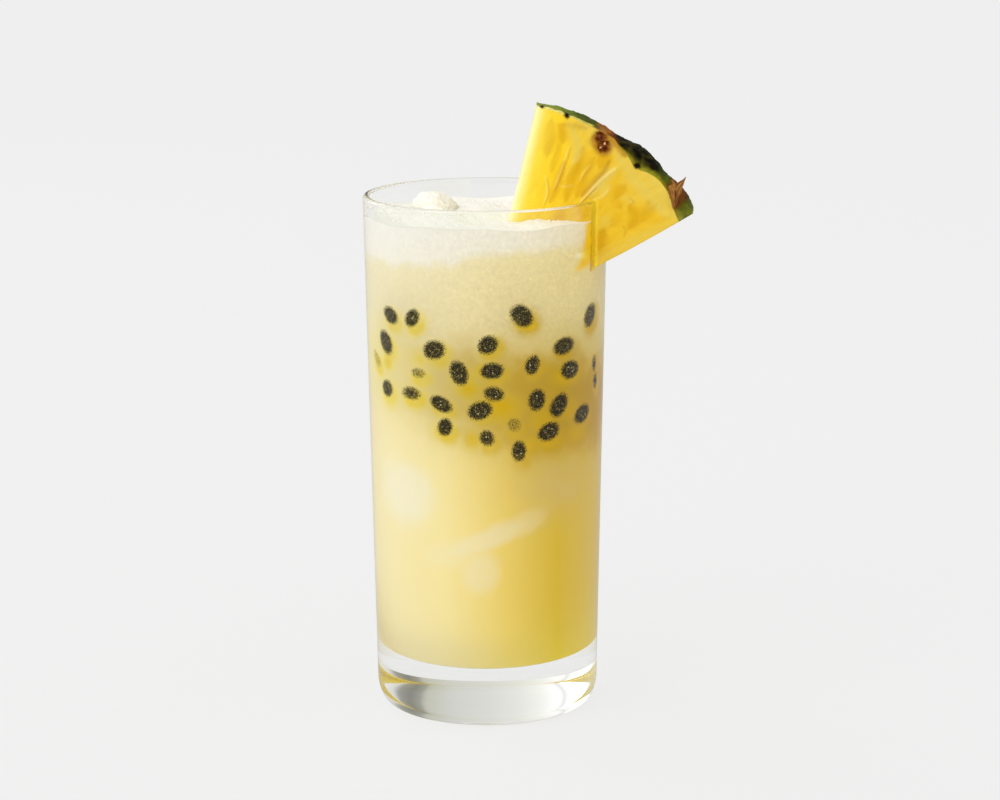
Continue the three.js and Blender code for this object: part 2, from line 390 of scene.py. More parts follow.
def lattice(counts):
    """A closed box from 0 to 1 whose sides are cut into a grid."""
    bm = bmesh.new()
    bmesh.ops.create_cube(bm, size=1, matrix=Matrix.Translation((0.5, 0.5, 0.5)))
    for axis, count in enumerate(counts):
        along = [e for e in bm.edges if abs((e.verts[0].co - e.verts[1].co)[axis]) > 1e-6]
        bmesh.ops.subdivide_edges(bm, edges=along, cuts=count - 1, use_grid_fill=True)
    return bm


def coords(bm):
    return np.array([v.co for v in bm.verts])


def move(bm, points):
    for vert, point in zip(bm.verts, points):
        vert.co = point


def piece(name, bm, materials, stands_for=(), paint=None):
    """Turns a shape in mm into a finished piece that rides on the glass, with its point attributes."""
    bmesh.ops.scale(bm, vec=(MM, MM, MM), verts=bm.verts)
    mesh = bpy.data.meshes.new(name)
    bm.to_mesh(mesh)
    bm.free()
    kinds = {1: ("FLOAT", "value"), 3: ("FLOAT_VECTOR", "vector"), 4: ("FLOAT_COLOR", "color")}
    for key, values in (paint or {}).items():
        values = np.asarray(values, np.float32)
        kind, field = kinds[values.size // len(mesh.vertices)]
        mesh.attributes.new(key, kind, "POINT").data.foreach_set(field, values.ravel())
    for material in materials:
        mesh.materials.append(material)
    mesh.shade_smooth()
    mesh.set_sharp_from_angle(angle=math.radians(50))
    made = bpy.data.objects.new(name, mesh)
    bpy.context.scene.collection.objects.link(made)
    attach(made, "root")
    if stands_for:
        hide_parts(*stands_for)
    return made


def fill(tree, node, inputs):
    """Gives a node its values and links."""
    for key, value in inputs.items():
        if isinstance(value, bpy.types.NodeSocket):
            tree.links.new(value, node.inputs[key])
        else:
            node.inputs[key].default_value = value


def put(tree, kind, inputs=None, stops=None, **settings):
    """Adds a node with its settings, its colour stops and its values or links."""
    node = tree.nodes.new(kind)
    for key, value in settings.items():
        setattr(node, key, value)
    if stops:
        ramp = node.color_ramp.elements
        while len(ramp) < len(stops):
            ramp.new(1.0)
        for element, (place, value) in zip(ramp, stops):
            element.position = place
            element.color = value if hasattr(value, "__len__") else (value, value, value, 1)
    fill(tree, node, inputs or {})
    return node


def blank(name):
    """A material with its node tree and its empty surface shader."""
    material = bpy.data.materials.new(name)
    material.use_nodes = True
    tree = material.node_tree
    return material, tree, tree.nodes["Principled BSDF"]


def over(tree, under, top, share):
    """Mixes one colour over another by a share."""
    node = put(tree, "ShaderNodeMix", {0: share, 6: under, 7: top}, data_type="RGBA")
    return node.outputs[2]


def glass_material(settings):
    """Clear soda lime glass, pressed and fire polished, so it has no grain and a sharp gloss."""
    material, tree, shader = blank("pressed soda lime glass")
    surface = {"Base Color": settings.tint, "Transmission Weight": 1.0, "Roughness": 0.0, "IOR": GLASS_INDEX}
    fill(tree, shader, surface)
    return material


class COOLER_OT_glass(bpy.types.Operator):
    """Spins the highball glass"""

    bl_idname = "cooler.glass"
    bl_label = "Glass"

    def execute(self, context):
        settings = context.scene.cooler_glass
        height, floor = settings.height / MM, settings.floor / MM
        rim, body = settings.rim_radius / MM, settings.body_radius / MM
        punt = settings.punt / MM
        lip = 0.95
        corner_z = floor + FLOOR_CORNER
        corner_r = bore_radius(corner_z) - FLOOR_CORNER
        # A flat hollow under the glass ends in a rounded step inside the ring that it stands on
        profile = [(0, punt), (9, punt), (18, punt)]
        for turn in np.linspace(0, math.pi, 14):
            profile.append((22 + 3.3 * turn / math.pi, punt * (0.5 + 0.5 * math.cos(turn))))
        profile += arc(body - 4, 7, 4, 7, -90, 0, 18)
        profile += [(outer_radius(z), z) for z in np.linspace(20, height - 0.65, 8)]
        profile += arc(rim - lip, height - 0.65, lip, 0.65, 0, 180, 14)[1:]
        profile += [(bore_radius(z), z) for z in np.linspace(height - 6, corner_z + 2, 8)]
        profile += arc(corner_r, corner_z, FLOOR_CORNER, FLOOR_CORNER, 0, -90, 28)
        profile += [(corner_r * 0.6, floor), (corner_r * 0.3, floor), (0, floor)]
        bm = spun(profile, 256)
        piece("glass_tumbler", bm, [glass_material(settings)], ["glass"])
        return {"FINISHED"}


def around(points):
    """Azimuth from the viewer in degrees, positive to the right, and height in mm."""
    return np.degrees(np.arctan2(points[:, 0], -points[:, 1])), points[:, 2]


def back_seeds(count):
    """Seeds round the side and back, drawn without touching each other."""
    draw = random.Random(11)
    placed = []
    while len(placed) < count:
        azimuth = draw.uniform(100, 262)
        z = min(112, max(74, draw.gauss(92, 9.5)))
        apart = (math.hypot((azimuth - a) * 0.48, z - h) for a, h, *_ in placed)
        if min(apart, default=99) < 6.2:
            continue
        length = draw.uniform(4.7, 6.2)
        clear = draw.choice((1.0, 1.0, 0.95, 0.9, 0.8, 0.45))
        place = azimuth - 360 if azimuth > 180 else azimuth
        placed.append((place, z, length, length * draw.uniform(0.68, 0.82), draw.uniform(-90, 90), clear))
    return placed


def on_wall(azimuth, z, place, height, tilt, radius=28.6):
    """Distances along and across a mark on the wall, in mm, tilted clockwise from upright."""
    side = ((azimuth - place + 180) % 360 - 180) * math.pi / 180 * radius
    rise = z - height
    turn = math.radians(tilt)
    return side * math.sin(turn) + rise * math.cos(turn), side * math.cos(turn) - rise * math.sin(turn)


def drink_paint(points, seeds):
    """Point attributes of the drink and the foam: foam, seed shadow, pulp, ice and the wedge's tint."""
    azimuth, z = around(points)
    x, y = points[:, 0], points[:, 1]
    ragged = rough(points, 5, 3, 3)
    # The foam hangs lower at the left, and ends in a soft ragged line
    foamy = ease(-1.8, 1.8, z - 121.8 - 4.4 * ease(-20, 10, x) + 1.2 * ragged)
    shade, pulp, dusk, ice = (np.zeros(len(points)) for _ in range(4))
    for place, height, length, width, tilt, clear in seeds:
        along, across = on_wall(azimuth, z, place, height, tilt)
        reach = np.hypot(along / (length / 2), across / (width / 2))
        shade = np.maximum(shade, (1 - ease(0.62, 1.4, reach)) * clear)
        along, across = on_wall(azimuth, z, place + 2.2, height - 1.4, tilt)
        reach = np.hypot(along / (length / 2 + 1.6), across / (width / 2 + 1.6))
        pulp = np.maximum(pulp, 0.42 * (1 - ease(0.4, 1.35, reach)))
    # Pulp smears are stains, and the other patches are painted shade
    for marks, stain in ((PULP, pulp), (PAINTED_SHADE, dusk)):
        for place, height, half_round, half_rise, strength in marks:
            along, across = on_wall(azimuth, z, place, height, 0)
            reach = np.hypot(across / half_round, along / half_rise) + 0.25 * ragged
            np.maximum(stain, strength * np.exp(-((reach * 1.1) ** 2)), out=stain)
    pulp = np.clip(pulp * (1 + 0.35 * ragged), 0, 1)
    for place, height, half_long, half_tall, tilt, strength in SUNK_ICE:
        along, across = on_wall(azimuth, z, place, height, tilt + 90)
        reach = np.hypot(along / half_long, across / half_tall) + 0.16 * ragged
        ice = np.maximum(ice, strength * (1 - ease(0.55, 1.45, reach)))
    # The wedge lies against the wall from a slanting line on, lower down further to the left
    start = np.interp(z, (118, 120.3, 123.5, 127.0, 129.7, 134), (50, 51.6, 54.9, 57, 58.5, 60))
    wedge = ease(-5, 1, azimuth - start + 1.5 * ragged) * (1 - ease(86, 92, azimuth))
    wedge *= ease(-0.9, 1.1, z - 119.6 - 0.25 * (x - 23))
    froth = ease(99, 108, z + 3 * ragged) * (0.35 + 0.65 * ease(-55, 5, azimuth + 14 * ragged))
    # The pulp stains the drink further down on the shaded side and less on the lit side, which also paints
    # the shaded side deeper as painted shade
    low = z + 0.2 * x + 3 * ragged
    seeded = ease(72, 84, low) * (1 - ease(94, 105, low))
    return {
        "foamy": foamy, "shade": shade, "pulp": pulp, "sunk_ice": ice, "wedge": wedge, "froth": froth,
        "seeded": seeded, "dusk": dusk,
    }


def milky_colour(tree, settings, foam):
    """Colour of the drink and the foam: painted light and shade by side, foam at the top, marks on the wall.
    """
    place = put(tree, "ShaderNodeTexCoord").outputs["Object"]
    # Painted light and shade: paler on the lit left, deeper on the right, as the light comes in from the
    # left and deepens as it crosses 60 mm of drink
    across = put(
        tree, "ShaderNodeVectorMath", {0: place, 1: (-17.2, -3.0, 0)}, operation="DOT_PRODUCT"
    ).outputs["Value"]
    side = put(tree, "ShaderNodeMath", {0: across, 1: 0.5}, operation="ADD").outputs[0]
    low = put(
        tree, "ShaderNodeValToRGB", {0: side},
        stops=[
            (0.08, settings.shaded), (0.26, settings.deep), (0.5, settings.middle), (0.76, settings.pale),
            (1.0, settings.lit),
        ],
    ).outputs[0]
    head = put(
        tree, "ShaderNodeValToRGB", {0: side},
        stops=[(0.1, settings.shaded_head), (0.5, settings.middle_head), (1.0, settings.lit_head)],
    ).outputs[0]
    z = put(tree, "ShaderNodeSeparateXYZ", {0: place}).outputs["Z"]
    rise = put(
        tree, "ShaderNodeMapRange", {"Value": z, "From Min": 0.088, "From Max": 0.113},
        interpolation_type="SMOOTHSTEP",
    ).outputs[0]
    body = over(tree, low, head, rise)
    seeded = put(
        tree, "ShaderNodeValToRGB", {0: side},
        stops=[(0.1, settings.shaded_seeds), (0.5, settings.middle_seeds), (1.0, settings.lit_seeds)],
    ).outputs[0]
    for name, tone in (("seeded", seeded), ("sunk_ice", settings.ice), ("dusk", settings.dusk)):
        body = over(tree, body, tone, put(tree, "ShaderNodeAttribute", attribute_name=name).outputs["Fac"])
    under = put(tree, "ShaderNodeMapRange", {"Value": z, "From Min": 0.015, "From Max": 0.0143}).outputs[0]
    body = over(tree, body, settings.under, under)
    # Thin pulp tints the milk lemon, painted darker away from the light as painted shade, and thick pulp is
    # golden
    pulp = put(tree, "ShaderNodeAttribute", attribute_name="pulp").outputs["Fac"]
    thin = put(tree, "ShaderNodeMapRange", {"Value": pulp, "From Max": 0.45}).outputs[0]
    thick = put(tree, "ShaderNodeMapRange", {"Value": pulp, "From Min": 0.25, "From Max": 0.95}).outputs[0]
    lemon = put(
        tree, "ShaderNodeValToRGB", {0: side}, stops=[(0.3, settings.shaded_pulp), (0.9, settings.thin_pulp)]
    ).outputs[0]
    body = over(tree, body, lemon, thin)
    body = over(tree, body, settings.pulp, thick)
    # Painted light and shade on the foam: whiter towards the light
    white = put(
        tree, "ShaderNodeValToRGB", {0: side},
        stops=[(0.15, foam.shaded), (0.45, foam.middle), (1.0, foam.lit)],
    ).outputs[0]
    foamy = put(tree, "ShaderNodeAttribute", attribute_name="foamy").outputs["Fac"]
    body = over(tree, body, white, foamy)
    # Bubbles about 1.3 mm wide stand on the wall under the foam, as rings with a bright heart. The heart and
    # outer ring are painted highlight and the dark ring painted shade, multiplied into the colour and used
    # as bump. One cell in two holds a bubble, and a finer noise runs between them.
    froth = put(tree, "ShaderNodeAttribute", attribute_name="froth").outputs["Fac"]
    cells = put(tree, "ShaderNodeTexVoronoi", {"Vector": place, "Scale": 700.0}, feature="F1")
    held = put(tree, "ShaderNodeSeparateColor", {0: cells.outputs["Color"]}).outputs[0]
    held = put(tree, "ShaderNodeMapRange", {"Value": held, "From Min": 0.45, "From Max": 0.55}).outputs[0]
    ring = put(
        tree, "ShaderNodeValToRGB", {0: cells.outputs["Distance"]},
        stops=[(0.0, 0.75), (0.14, 0.62), (0.24, 0.2), (0.33, 0.85), (0.42, 0.5), (1.0, 0.5)],
    ).outputs[0]
    ring = put(tree, "ShaderNodeMix", {0: held, 2: 0.5, 3: ring}, data_type="FLOAT").outputs[0]
    fine = put(tree, "ShaderNodeTexNoise", {"Vector": place, "Scale": 900.0, "Detail": 2.0}).outputs["Fac"]
    height = put(tree, "ShaderNodeMix", {0: 0.45, 2: ring, 3: fine}, data_type="FLOAT").outputs[0]
    height = put(tree, "ShaderNodeMix", {0: froth, 2: 0.5, 3: height}, data_type="FLOAT").outputs[0]
    # Painted light and shade of the bubbles, with the finer noise as random tone
    bubble_light_and_mottle = put(
        tree, "ShaderNodeMapRange",
        {"Value": height, "From Min": 0.2, "From Max": 0.8, "To Min": 0.8, "To Max": 1.12},
    ).outputs[0]
    body = put(
        tree, "ShaderNodeMix", {0: 1.0, 6: body, 7: bubble_light_and_mottle}, data_type="RGBA", blend_type="MULTIPLY"
    ).outputs[2]
    return place, body, height


def speckled_edge(tree, place, shade, soft):
    """Seed shadow broken into 0.3 mm drops, so that its edge dissolves into the drink."""
    drops = put(
        tree, "ShaderNodeTexNoise", {"Vector": place, "Scale": 3300.0, "Detail": 1.0, "Roughness": 0.6}
    ).outputs["Fac"]
    spread = put(
        tree, "ShaderNodeMapRange",
        {"Value": drops, "From Min": 0.3, "From Max": 0.7, "To Min": -0.36, "To Max": 0.36},
    ).outputs[0]
    near = put(tree, "ShaderNodeMapRange", {"Value": shade, "From Min": 0.03, "From Max": 0.3}).outputs[0]
    spread = put(tree, "ShaderNodeMath", {0: spread, 1: near}, operation="MULTIPLY").outputs[0]
    total = put(tree, "ShaderNodeMath", {0: shade, 1: spread}, operation="ADD").outputs[0]
    return put(
        tree, "ShaderNodeMapRange", {"Value": total, "From Min": 0.5 - soft, "From Max": 0.5 + soft},
        interpolation_type="SMOOTHSTEP",
    ).outputs[0]


def drink_material(settings, seeds, foam):
    """Coconut milk and passion fruit juice: opaque, satin under the glass, stained by pulp."""
    material, tree, shader = blank("milky passion fruit and coconut drink")
    place, body, bumps = milky_colour(tree, settings, foam)
    shade = put(tree, "ShaderNodeAttribute", attribute_name="shade").outputs["Fac"]
    dark = speckled_edge(tree, place, shade, 0.42)
    body = over(tree, body, seeds.kernel, dark)
    wedge = put(tree, "ShaderNodeAttribute", attribute_name="wedge").outputs["Fac"]
    body = over(tree, body, srgb(WEDGE_TINT), wedge)
    relief = put(tree, "ShaderNodeBump", {"Strength": 0.6, "Distance": 0.0004, "Height": bumps}).outputs[0]
    surface = {"Base Color": body, "Normal": relief, "Roughness": 0.6, "Specular IOR Level": 0.0}
    fill(tree, shader, surface)
    return material


def foam_material(settings, foam):
    """Fine coconut foam: bubbles under a millimetre wide, matt and bright, soft to the light."""
    material, tree, shader = blank("fine coconut foam")
    place, body, bumps = milky_colour(tree, settings, foam)
    wedge = put(tree, "ShaderNodeAttribute", attribute_name="wedge").outputs["Fac"]
    body = over(tree, body, srgb(WEDGE_TINT), wedge)
    open_top = put(tree, "ShaderNodeAttribute", attribute_name="open_top").outputs["Fac"]
    body = over(tree, body, foam.crown, open_top)
    grain = put(tree, "ShaderNodeTexNoise", {"Vector": place, "Scale": 1500.0, "Detail": 3.0}).outputs["Fac"]
    height = put(tree, "ShaderNodeMath", {0: grain, 1: bumps}, operation="ADD").outputs[0]
    relief = put(tree, "ShaderNodeBump", {"Strength": 0.5, "Distance": 0.0003, "Height": height}).outputs[0]
    surface = {"Base Color": body, "Normal": relief, "Roughness": 0.7, "Specular IOR Level": 0.15}
    fill(tree, shader, surface)
    return material


class COOLER_OT_drink(bpy.types.Operator):
    """Fills the glass with the milky drink, just into the wall so that no air shows"""

    bl_idname = "cooler.drink"
    bl_label = "Drink"

    def execute(self, context):
        scene = context.scene
        seeds = front_seeds() + back_seeds(scene.cooler_seeds.behind)
        floor, corner = scene.cooler_glass.floor / MM, FLOOR_CORNER
        corner_r = bore_radius(floor + corner) - corner
        heights = [*np.linspace(27.5, 68, 38), *np.linspace(68.5, FOAM_LINE - 0.2, 116), FOAM_LINE]
        profile = [(corner_r * share, floor + BITE) for share in (0, 0.33, 0.7)]
        turns = np.radians(np.linspace(-90, 0, 37))
        # The drink bites into the glass all round its corner. On the flat floor it stands clear,
        # because glass on liquid mirrors there as seen from the side, which only air can do here.
        for turn in turns:
            radius = corner + (BITE if turn > math.radians(-82) else -BITE)
            profile.append((corner_r + radius * math.cos(turn), floor + corner + radius * math.sin(turn)))
        profile += [(bore_radius(z) + BITE, z) for z in heights]
        top = bore_radius(FOAM_LINE)
        profile += [(top * share, FOAM_LINE) for share in (0.85, 0.6, 0.3, 0)]
        bm = spun(profile, 440)
        points = coords(bm)
        lift = boundary_height(points[:, 0], points[:, 1]) - FOAM_LINE
        points[:, 2] += lift * ease(112, FOAM_LINE, points[:, 2])
        move(bm, points)
        material = drink_material(scene.cooler_drink, scene.cooler_seeds, scene.cooler_foam)
        piece("milky_drink", bm, [material], ["drink"], drink_paint(points, seeds))
        return {"FINISHED"}


class COOLER_OT_foam(bpy.types.Operator):
    """Lays the head of fine foam on the drink, climbing the wall a little"""

    bl_idname = "cooler.foam"
    bl_label = "Foam"

    def execute(self, context):
        scene = context.scene
        low = [(bore_radius(FOAM_LINE) * share, 0.0) for share in (0, 0.3, 0.6, 0.85)]
        thick = FOAM_TOP - FOAM_LINE
        wall = [(bore_radius(FOAM_LINE + thick * share) + BITE, share) for share in np.linspace(0, 1, 22)]
        rings = np.linspace(1, 0, 62) ** 0.85
        top = [(bore_radius(FOAM_TOP) * share, 1.0) for share in rings[1:]]
        bm = spun(low + wall + top, 400)
        points = coords(bm)
        x, y, share = points[:, 0].copy(), points[:, 1].copy(), points[:, 2].copy()
        crest = foam_height(x, y)
        points[:, 2] = boundary_height(x, y) * (1 - share) + crest * share
        inside = 1 - ease(0.8, 1.0, np.hypot(x, y) / 29.5)
        lumps = 0.28 * rough(points, 4.2, 5, 4) + 0.13 * rough(points, 1.3, 8, 2)
        points[:, 2] += lumps * inside * (share > 0.99)
        move(bm, points)
        paint = drink_paint(points, ())
        paint["open_top"] = ease(0.985, 1.0, share)
        material = foam_material(scene.cooler_drink, scene.cooler_foam)
        piece("coconut_foam", bm, [material], ["foam"], paint)
        return {"FINISHED"}


class COOLER_OT_bubbles(bpy.types.Operator):
    """Scatters bubbles over the foam and round the ice"""

    bl_idname = "cooler.bubbles"
    bl_label = "Bubbles"

    def execute(self, context):
        settings = context.scene.cooler_foam
        draw = random.Random(4)
        bm = bmesh.new()
        batch = bmesh.new()
        store = bpy.data.meshes.new("bubble_batch")
        for index in range(settings.bubbles):
            size = 0.16 + 0.42 * draw.random() ** 3
            reach, turn = 29.0 * math.sqrt(draw.random()), draw.uniform(0, math.tau)
            x, y = reach * math.cos(turn), reach * math.sin(turn)
            place = Matrix.Translation((x, y, foam_height(x, y) - 0.25 * size))
            flat = Matrix.Diagonal((1, 1, 0.7, 1))
            bmesh.ops.create_icosphere(batch, subdivisions=1, radius=size, matrix=place @ flat)
            if index % 60 == 59 or index == settings.bubbles - 1:
                batch.to_mesh(store)
                bm.from_mesh(store)
                batch.clear()
        batch.free()
        bpy.data.meshes.remove(store)
        material, tree, shader = blank("foam bubble film")
        fill(tree, shader, {"Base Color": srgb("#f6f2e6"), "Roughness": 0.35})
        piece("foam_bubbles", bm, [material])
        return {"FINISHED"}


def seed_material(settings):
    """Passion fruit seed: hard, pitted, nearly black, wet, with drops of drink caught in its pits."""
    material, tree, shader = blank("wet passion fruit seed")
    place = put(tree, "ShaderNodeTexCoord").outputs["Object"]
    rim = put(tree, "ShaderNodeAttribute", attribute_name="rim").outputs["Fac"]
    # Drops 0.3 mm wide, thicker towards the edge, and a painted highlight, a brighter glint, on few of them
    drops = put(
        tree, "ShaderNodeTexNoise", {"Vector": place, "Scale": 3300.0, "Detail": 1.0, "Roughness": 0.6}
    ).outputs["Fac"]
    limit = put(
        tree, "ShaderNodeMapRange",
        {"Value": rim, "From Min": 0.2, "From Max": 1.0, "To Min": 0.62, "To Max": 0.47},
    ).outputs[0]
    above = put(tree, "ShaderNodeMath", {0: drops, 1: limit}, operation="SUBTRACT").outputs[0]
    fleck = put(
        tree, "ShaderNodeMapRange", {"Value": above, "From Min": -0.06, "From Max": 0.12},
        interpolation_type="SMOOTHSTEP",
    ).outputs[0]
    body = over(tree, settings.kernel, settings.fleck, fleck)
    wet = put(tree, "ShaderNodeTexVoronoi", {"Vector": place, "Scale": 1150.0}).outputs
    few = put(tree, "ShaderNodeSeparateColor", {0: wet["Color"]}).outputs[0]
    few = put(tree, "ShaderNodeMapRange", {"Value": few, "From Min": 0.6, "From Max": 0.62}).outputs[0]
    small = put(
        tree, "ShaderNodeMapRange",
        {"Value": wet["Distance"], "From Min": 0.14, "From Max": 0.24, "To Min": 1.0, "To Max": 0.0},
    ).outputs[0]
    painted_glint = put(tree, "ShaderNodeMath", {0: few, 1: small}, operation="MULTIPLY").outputs[0]
    body = over(tree, body, settings.painted_glint, painted_glint)
    relief = put(tree, "ShaderNodeBump", {"Strength": 0.5, "Distance": 0.0002, "Height": drops}).outputs[0]
    surface = {"Base Color": body, "Normal": relief, "Roughness": 0.6, "Specular IOR Level": 0.0}
    fill(tree, shader, surface)
    return material


class COOLER_OT_seeds(bpy.types.Operator):
    """Presses the passion fruit seeds flat to the inside of the wall"""

    bl_idname = "cooler.seeds"
    bl_label = "Seeds"

    def execute(self, context):
        settings = context.scene.cooler_seeds
        bm = bmesh.new()
        rims = []
        shown = [s for s in front_seeds() + back_seeds(settings.behind) if s[5] > 0.58]
        for place, z, length, width, tilt, clear in shown:
            start = len(bm.verts)
            bmesh.ops.create_icosphere(bm, subdivisions=4, radius=1)
            bm.verts.ensure_lookup_table()
            verts = bm.verts[start:]
            turn = Matrix.Rotation(-math.radians(tilt), 3, "Y")
            azimuth = math.radians(place)
            out = Vector((math.sin(azimuth), -math.cos(azimuth), 0))
            side = Vector((math.cos(azimuth), math.sin(azimuth), 0))
            middle = bore_radius(z) - 1.0
            for vert in verts:
                unit = vert.co.copy()
                rims.append(min(1.0, math.hypot(unit.x, unit.z)))
                dent = 1 + 0.03 * noise.noise(unit * 5 + Vector((place, z, 0)))
                narrow = 1 - 0.12 * unit.z
                local = Vector((unit.x * width / 2 * narrow, unit.y * 1.35, unit.z * length / 2))
                local = turn @ (local * dent * 0.93)
                at = side * local.x + out * (middle - local.y)
                reach = math.hypot(at.x, at.y)
                limit = bore_radius(z + local.z) + 0.16 + 0.1 * (1 - rims[-1])
                at *= min(1.0, limit / reach)
                vert.co = Vector((at.x, at.y, z + local.z))
        piece("passion_fruit_seeds", bm, [seed_material(settings)], (), {"rim": np.array(rims)})
        return {"FINISHED"}


def ice_material(settings):
    """Melting ice with a crown of froth: cloudy, wet, grey on its right, partly clear ice and partly painted
    shade.
    """
    material, tree, shader = blank("frothy melting ice")
    frost = put(tree, "ShaderNodeAttribute", attribute_name="frost").outputs["Fac"]
    body = over(tree, settings.body, settings.frost, frost)
    place = put(tree, "ShaderNodeTexCoord").outputs["Object"]
    grain = put(tree, "ShaderNodeTexNoise", {"Vector": place, "Scale": 900.0, "Detail": 3.0}).outputs["Fac"]
    relief = put(tree, "ShaderNodeBump", {"Strength": 0.35, "Distance": 0.0004, "Height": grain}).outputs[0]
    surface = {
        "Base Color": body, "Normal": relief, "Roughness": 0.3, "IOR": 1.31, "Subsurface Weight": 0.6,
        "Subsurface Radius": (1.0, 0.9, 0.7), "Subsurface Scale": 0.002,
    }
    fill(tree, shader, surface)
    return material


class COOLER_OT_ice(bpy.types.Operator):
    """Shapes the ice cube that breaks the foam, with froth on its crown"""

    bl_idname = "cooler.ice"
    bl_label = "Ice"

    def execute(self, context):
        settings = context.scene.cooler_ice
        size = (15.0, 13.0, 14.0)
        bm = lattice((72, 62, 66))
        unit = coords(bm) * 2 - 1
        # A cube softened by melting: each point is drawn towards a sphere near the corners
        half = np.array(size) / 2
        inner = np.clip(unit * half, -(half - 3.2), half - 3.2)
        away = unit * half - inner
        length = np.linalg.norm(away, axis=1, keepdims=True)
        points = inner + away / np.maximum(length, 1e-6) * np.minimum(length, 3.2)
        turn = Euler((0.62, 0.5, 0.35)).to_matrix()
        points = points @ np.array(turn).T + np.array((-11.3, 13.6, 126.8))
        centre = points.mean(axis=0)
        outward = (points - centre) / np.linalg.norm(points - centre, axis=1, keepdims=True)
        lumps = 0.5 * rough(points, 3.2, 2, 4)
        crown = ease(130, 133.5, points[:, 2])
        froth = 0.75 * rough(points, 2.0, 9, 4) + 0.25 * rough(points, 0.9, 10, 2)
        points += outward * (np.minimum(lumps, 0.1) - 0.12 + crown * froth)[:, None]
        points[:, 0] -= 2.2 * crown * (1 - ease(-15, -8, points[:, 0]))
        points[:, 2] -= 2.4 * crown * ease(-12.5, -6.5, points[:, 0])
        over_top = np.maximum(points[:, 2] - 134.4, 0)
        points[:, 2] += 1.4 * np.tanh(over_top / 1.4) - over_top
        move(bm, points)
        # The crown is frost white on the left and the body's grey on the right: partly the clear ice, partly
        # painted shade
        frost = 1 - ease(-10.4, -7.0, points[:, 0] + 1.2 * rough(points, 3, 6, 2))
        piece("ice_lump", bm, [ice_material(settings)], ["ice_cube"], {"frost": frost})
        return {"FINISHED"}


CENTRE = (0.5, -14.5, 107.2)
LOW, HIGH = 26.4, 76.5
FLESH_SHARE = 0.92
# The cut face was drawn over on an enlarged crop of the photograph. Its pixels are this many
# mm apart across and down, and its top left corner lies here from the slice's centre, in mm.
CROP_ACROSS, CROP_DOWN = 0.03765, 0.0379
CROP_LEFT, CROP_TOP = 3.234, 66.26
# The line where flesh meets skin on the cut face, from the low end, in pixels of the crop
FLESH_LINE = (
    (1215, 1092), (1200, 1060), (1180, 1010), (1165, 955), (1148, 905), (1090, 825), (1050, 792),
    (1000, 765), (950, 750), (905, 722), (885, 680), (850, 630), (805, 585), (780, 540), (740, 500),
    (620, 442), (500, 387), (430, 345), (262, 300),
)
# Marks on the cut face: tone, half width, strength and line, in pixels of the crop
# Fibre marks are paler raised ridges, partly their own tone and partly painted highlight
# Shade marks are painted shadow along the cracks
DRAWN_MARKS = (
    ("deep", 50, 0.8, ((352, 425), (345, 520), (322, 640))),
    ("deep", 26, 0.55, ((415, 560), (392, 650), (352, 760))),
    ("deep", 28, 0.8, ((440, 690), (412, 800), (378, 900), (345, 970))),
    ("deep", 36, 0.85, ((570, 600), (540, 720), (480, 850), (452, 960))),
    ("deep", 30, 0.6, ((650, 670), (610, 740), (570, 830))),
    ("deep", 40, 0.5, ((805, 880), (785, 950), (830, 1010))),
    ("deep", 46, 0.9, ((890, 1010), (940, 1080), (890, 1150))),
    ("deep", 34, 0.7, ((1010, 960), (1025, 1020), (965, 1080))),
    ("deep", 58, 1.0, ((710, 1170), (660, 1280), (590, 1400))),
    ("deep", 42, 0.4, ((830, 1060), (760, 1130))),
    ("deep", 40, 0.5, ((430, 1050), (380, 1110))),
    ("deep", 30, 0.6, ((600, 1010), (550, 1090))),
    ("pale", 40, 0.75, ((470, 420), (515, 520), (535, 620), (505, 700))),
    ("pale", 34, 0.4, ((600, 500), (612, 600))),
    ("pale", 60, 0.8, ((800, 640), (890, 780), (970, 870), (1080, 970), (1140, 1070))),
    ("pale", 44, 0.5, ((760, 1320), (1000, 1195), (1210, 1100))),
    ("pale", 44, 0.4, ((690, 1080), (745, 1120))),
    ("pale", 34, 0.95, ((800, 735), (725, 800), (660, 870), (610, 925))),
    ("pale", 24, 0.7, ((745, 850), (695, 920))),
    ("tan", 22, 0.35, ((420, 440), (520, 450), (590, 470))),
    ("shade", 22, 0.75, ((750, 690), (705, 775), (635, 850), (560, 930))),
    ("shade", 6, 0.8, ((660, 872), (600, 935), (548, 990))),
    ("shade", 6, 0.45, ((488, 600), (466, 670), (432, 770), (404, 840), (380, 895))),
    ("shade", 6, 0.4, ((322, 800), (338, 862), (334, 925), (308, 990))),
    ("shade", 6, 0.35, ((638, 722), (582, 786), (562, 836))),
    ("shade", 7, 0.4, ((880, 942), (925, 972), (880, 1000))),
    ("shade", 8, 0.4, ((838, 1130), (868, 1170), (845, 1210))),
    ("fibre", 7, 0.6, ((470, 590), (450, 660), (415, 760), (390, 830), (365, 885))),
    ("fibre", 8, 0.55, ((310, 790), (325, 860), (322, 920), (295, 990))),
    ("fibre", 7, 0.4, ((520, 660), (482, 720), (440, 820))),
    ("fibre", 7, 0.4, ((620, 710), (567, 772), (545, 830))),
    ("fibre", 9, 1.0, ((795, 740), (722, 788), (657, 852), (602, 912), (545, 975))),
    ("fibre", 8, 0.6, ((745, 880), (700, 940), (600, 962))),
    ("fibre", 7, 0.4, ((400, 850), (440, 870), (500, 850))),
)
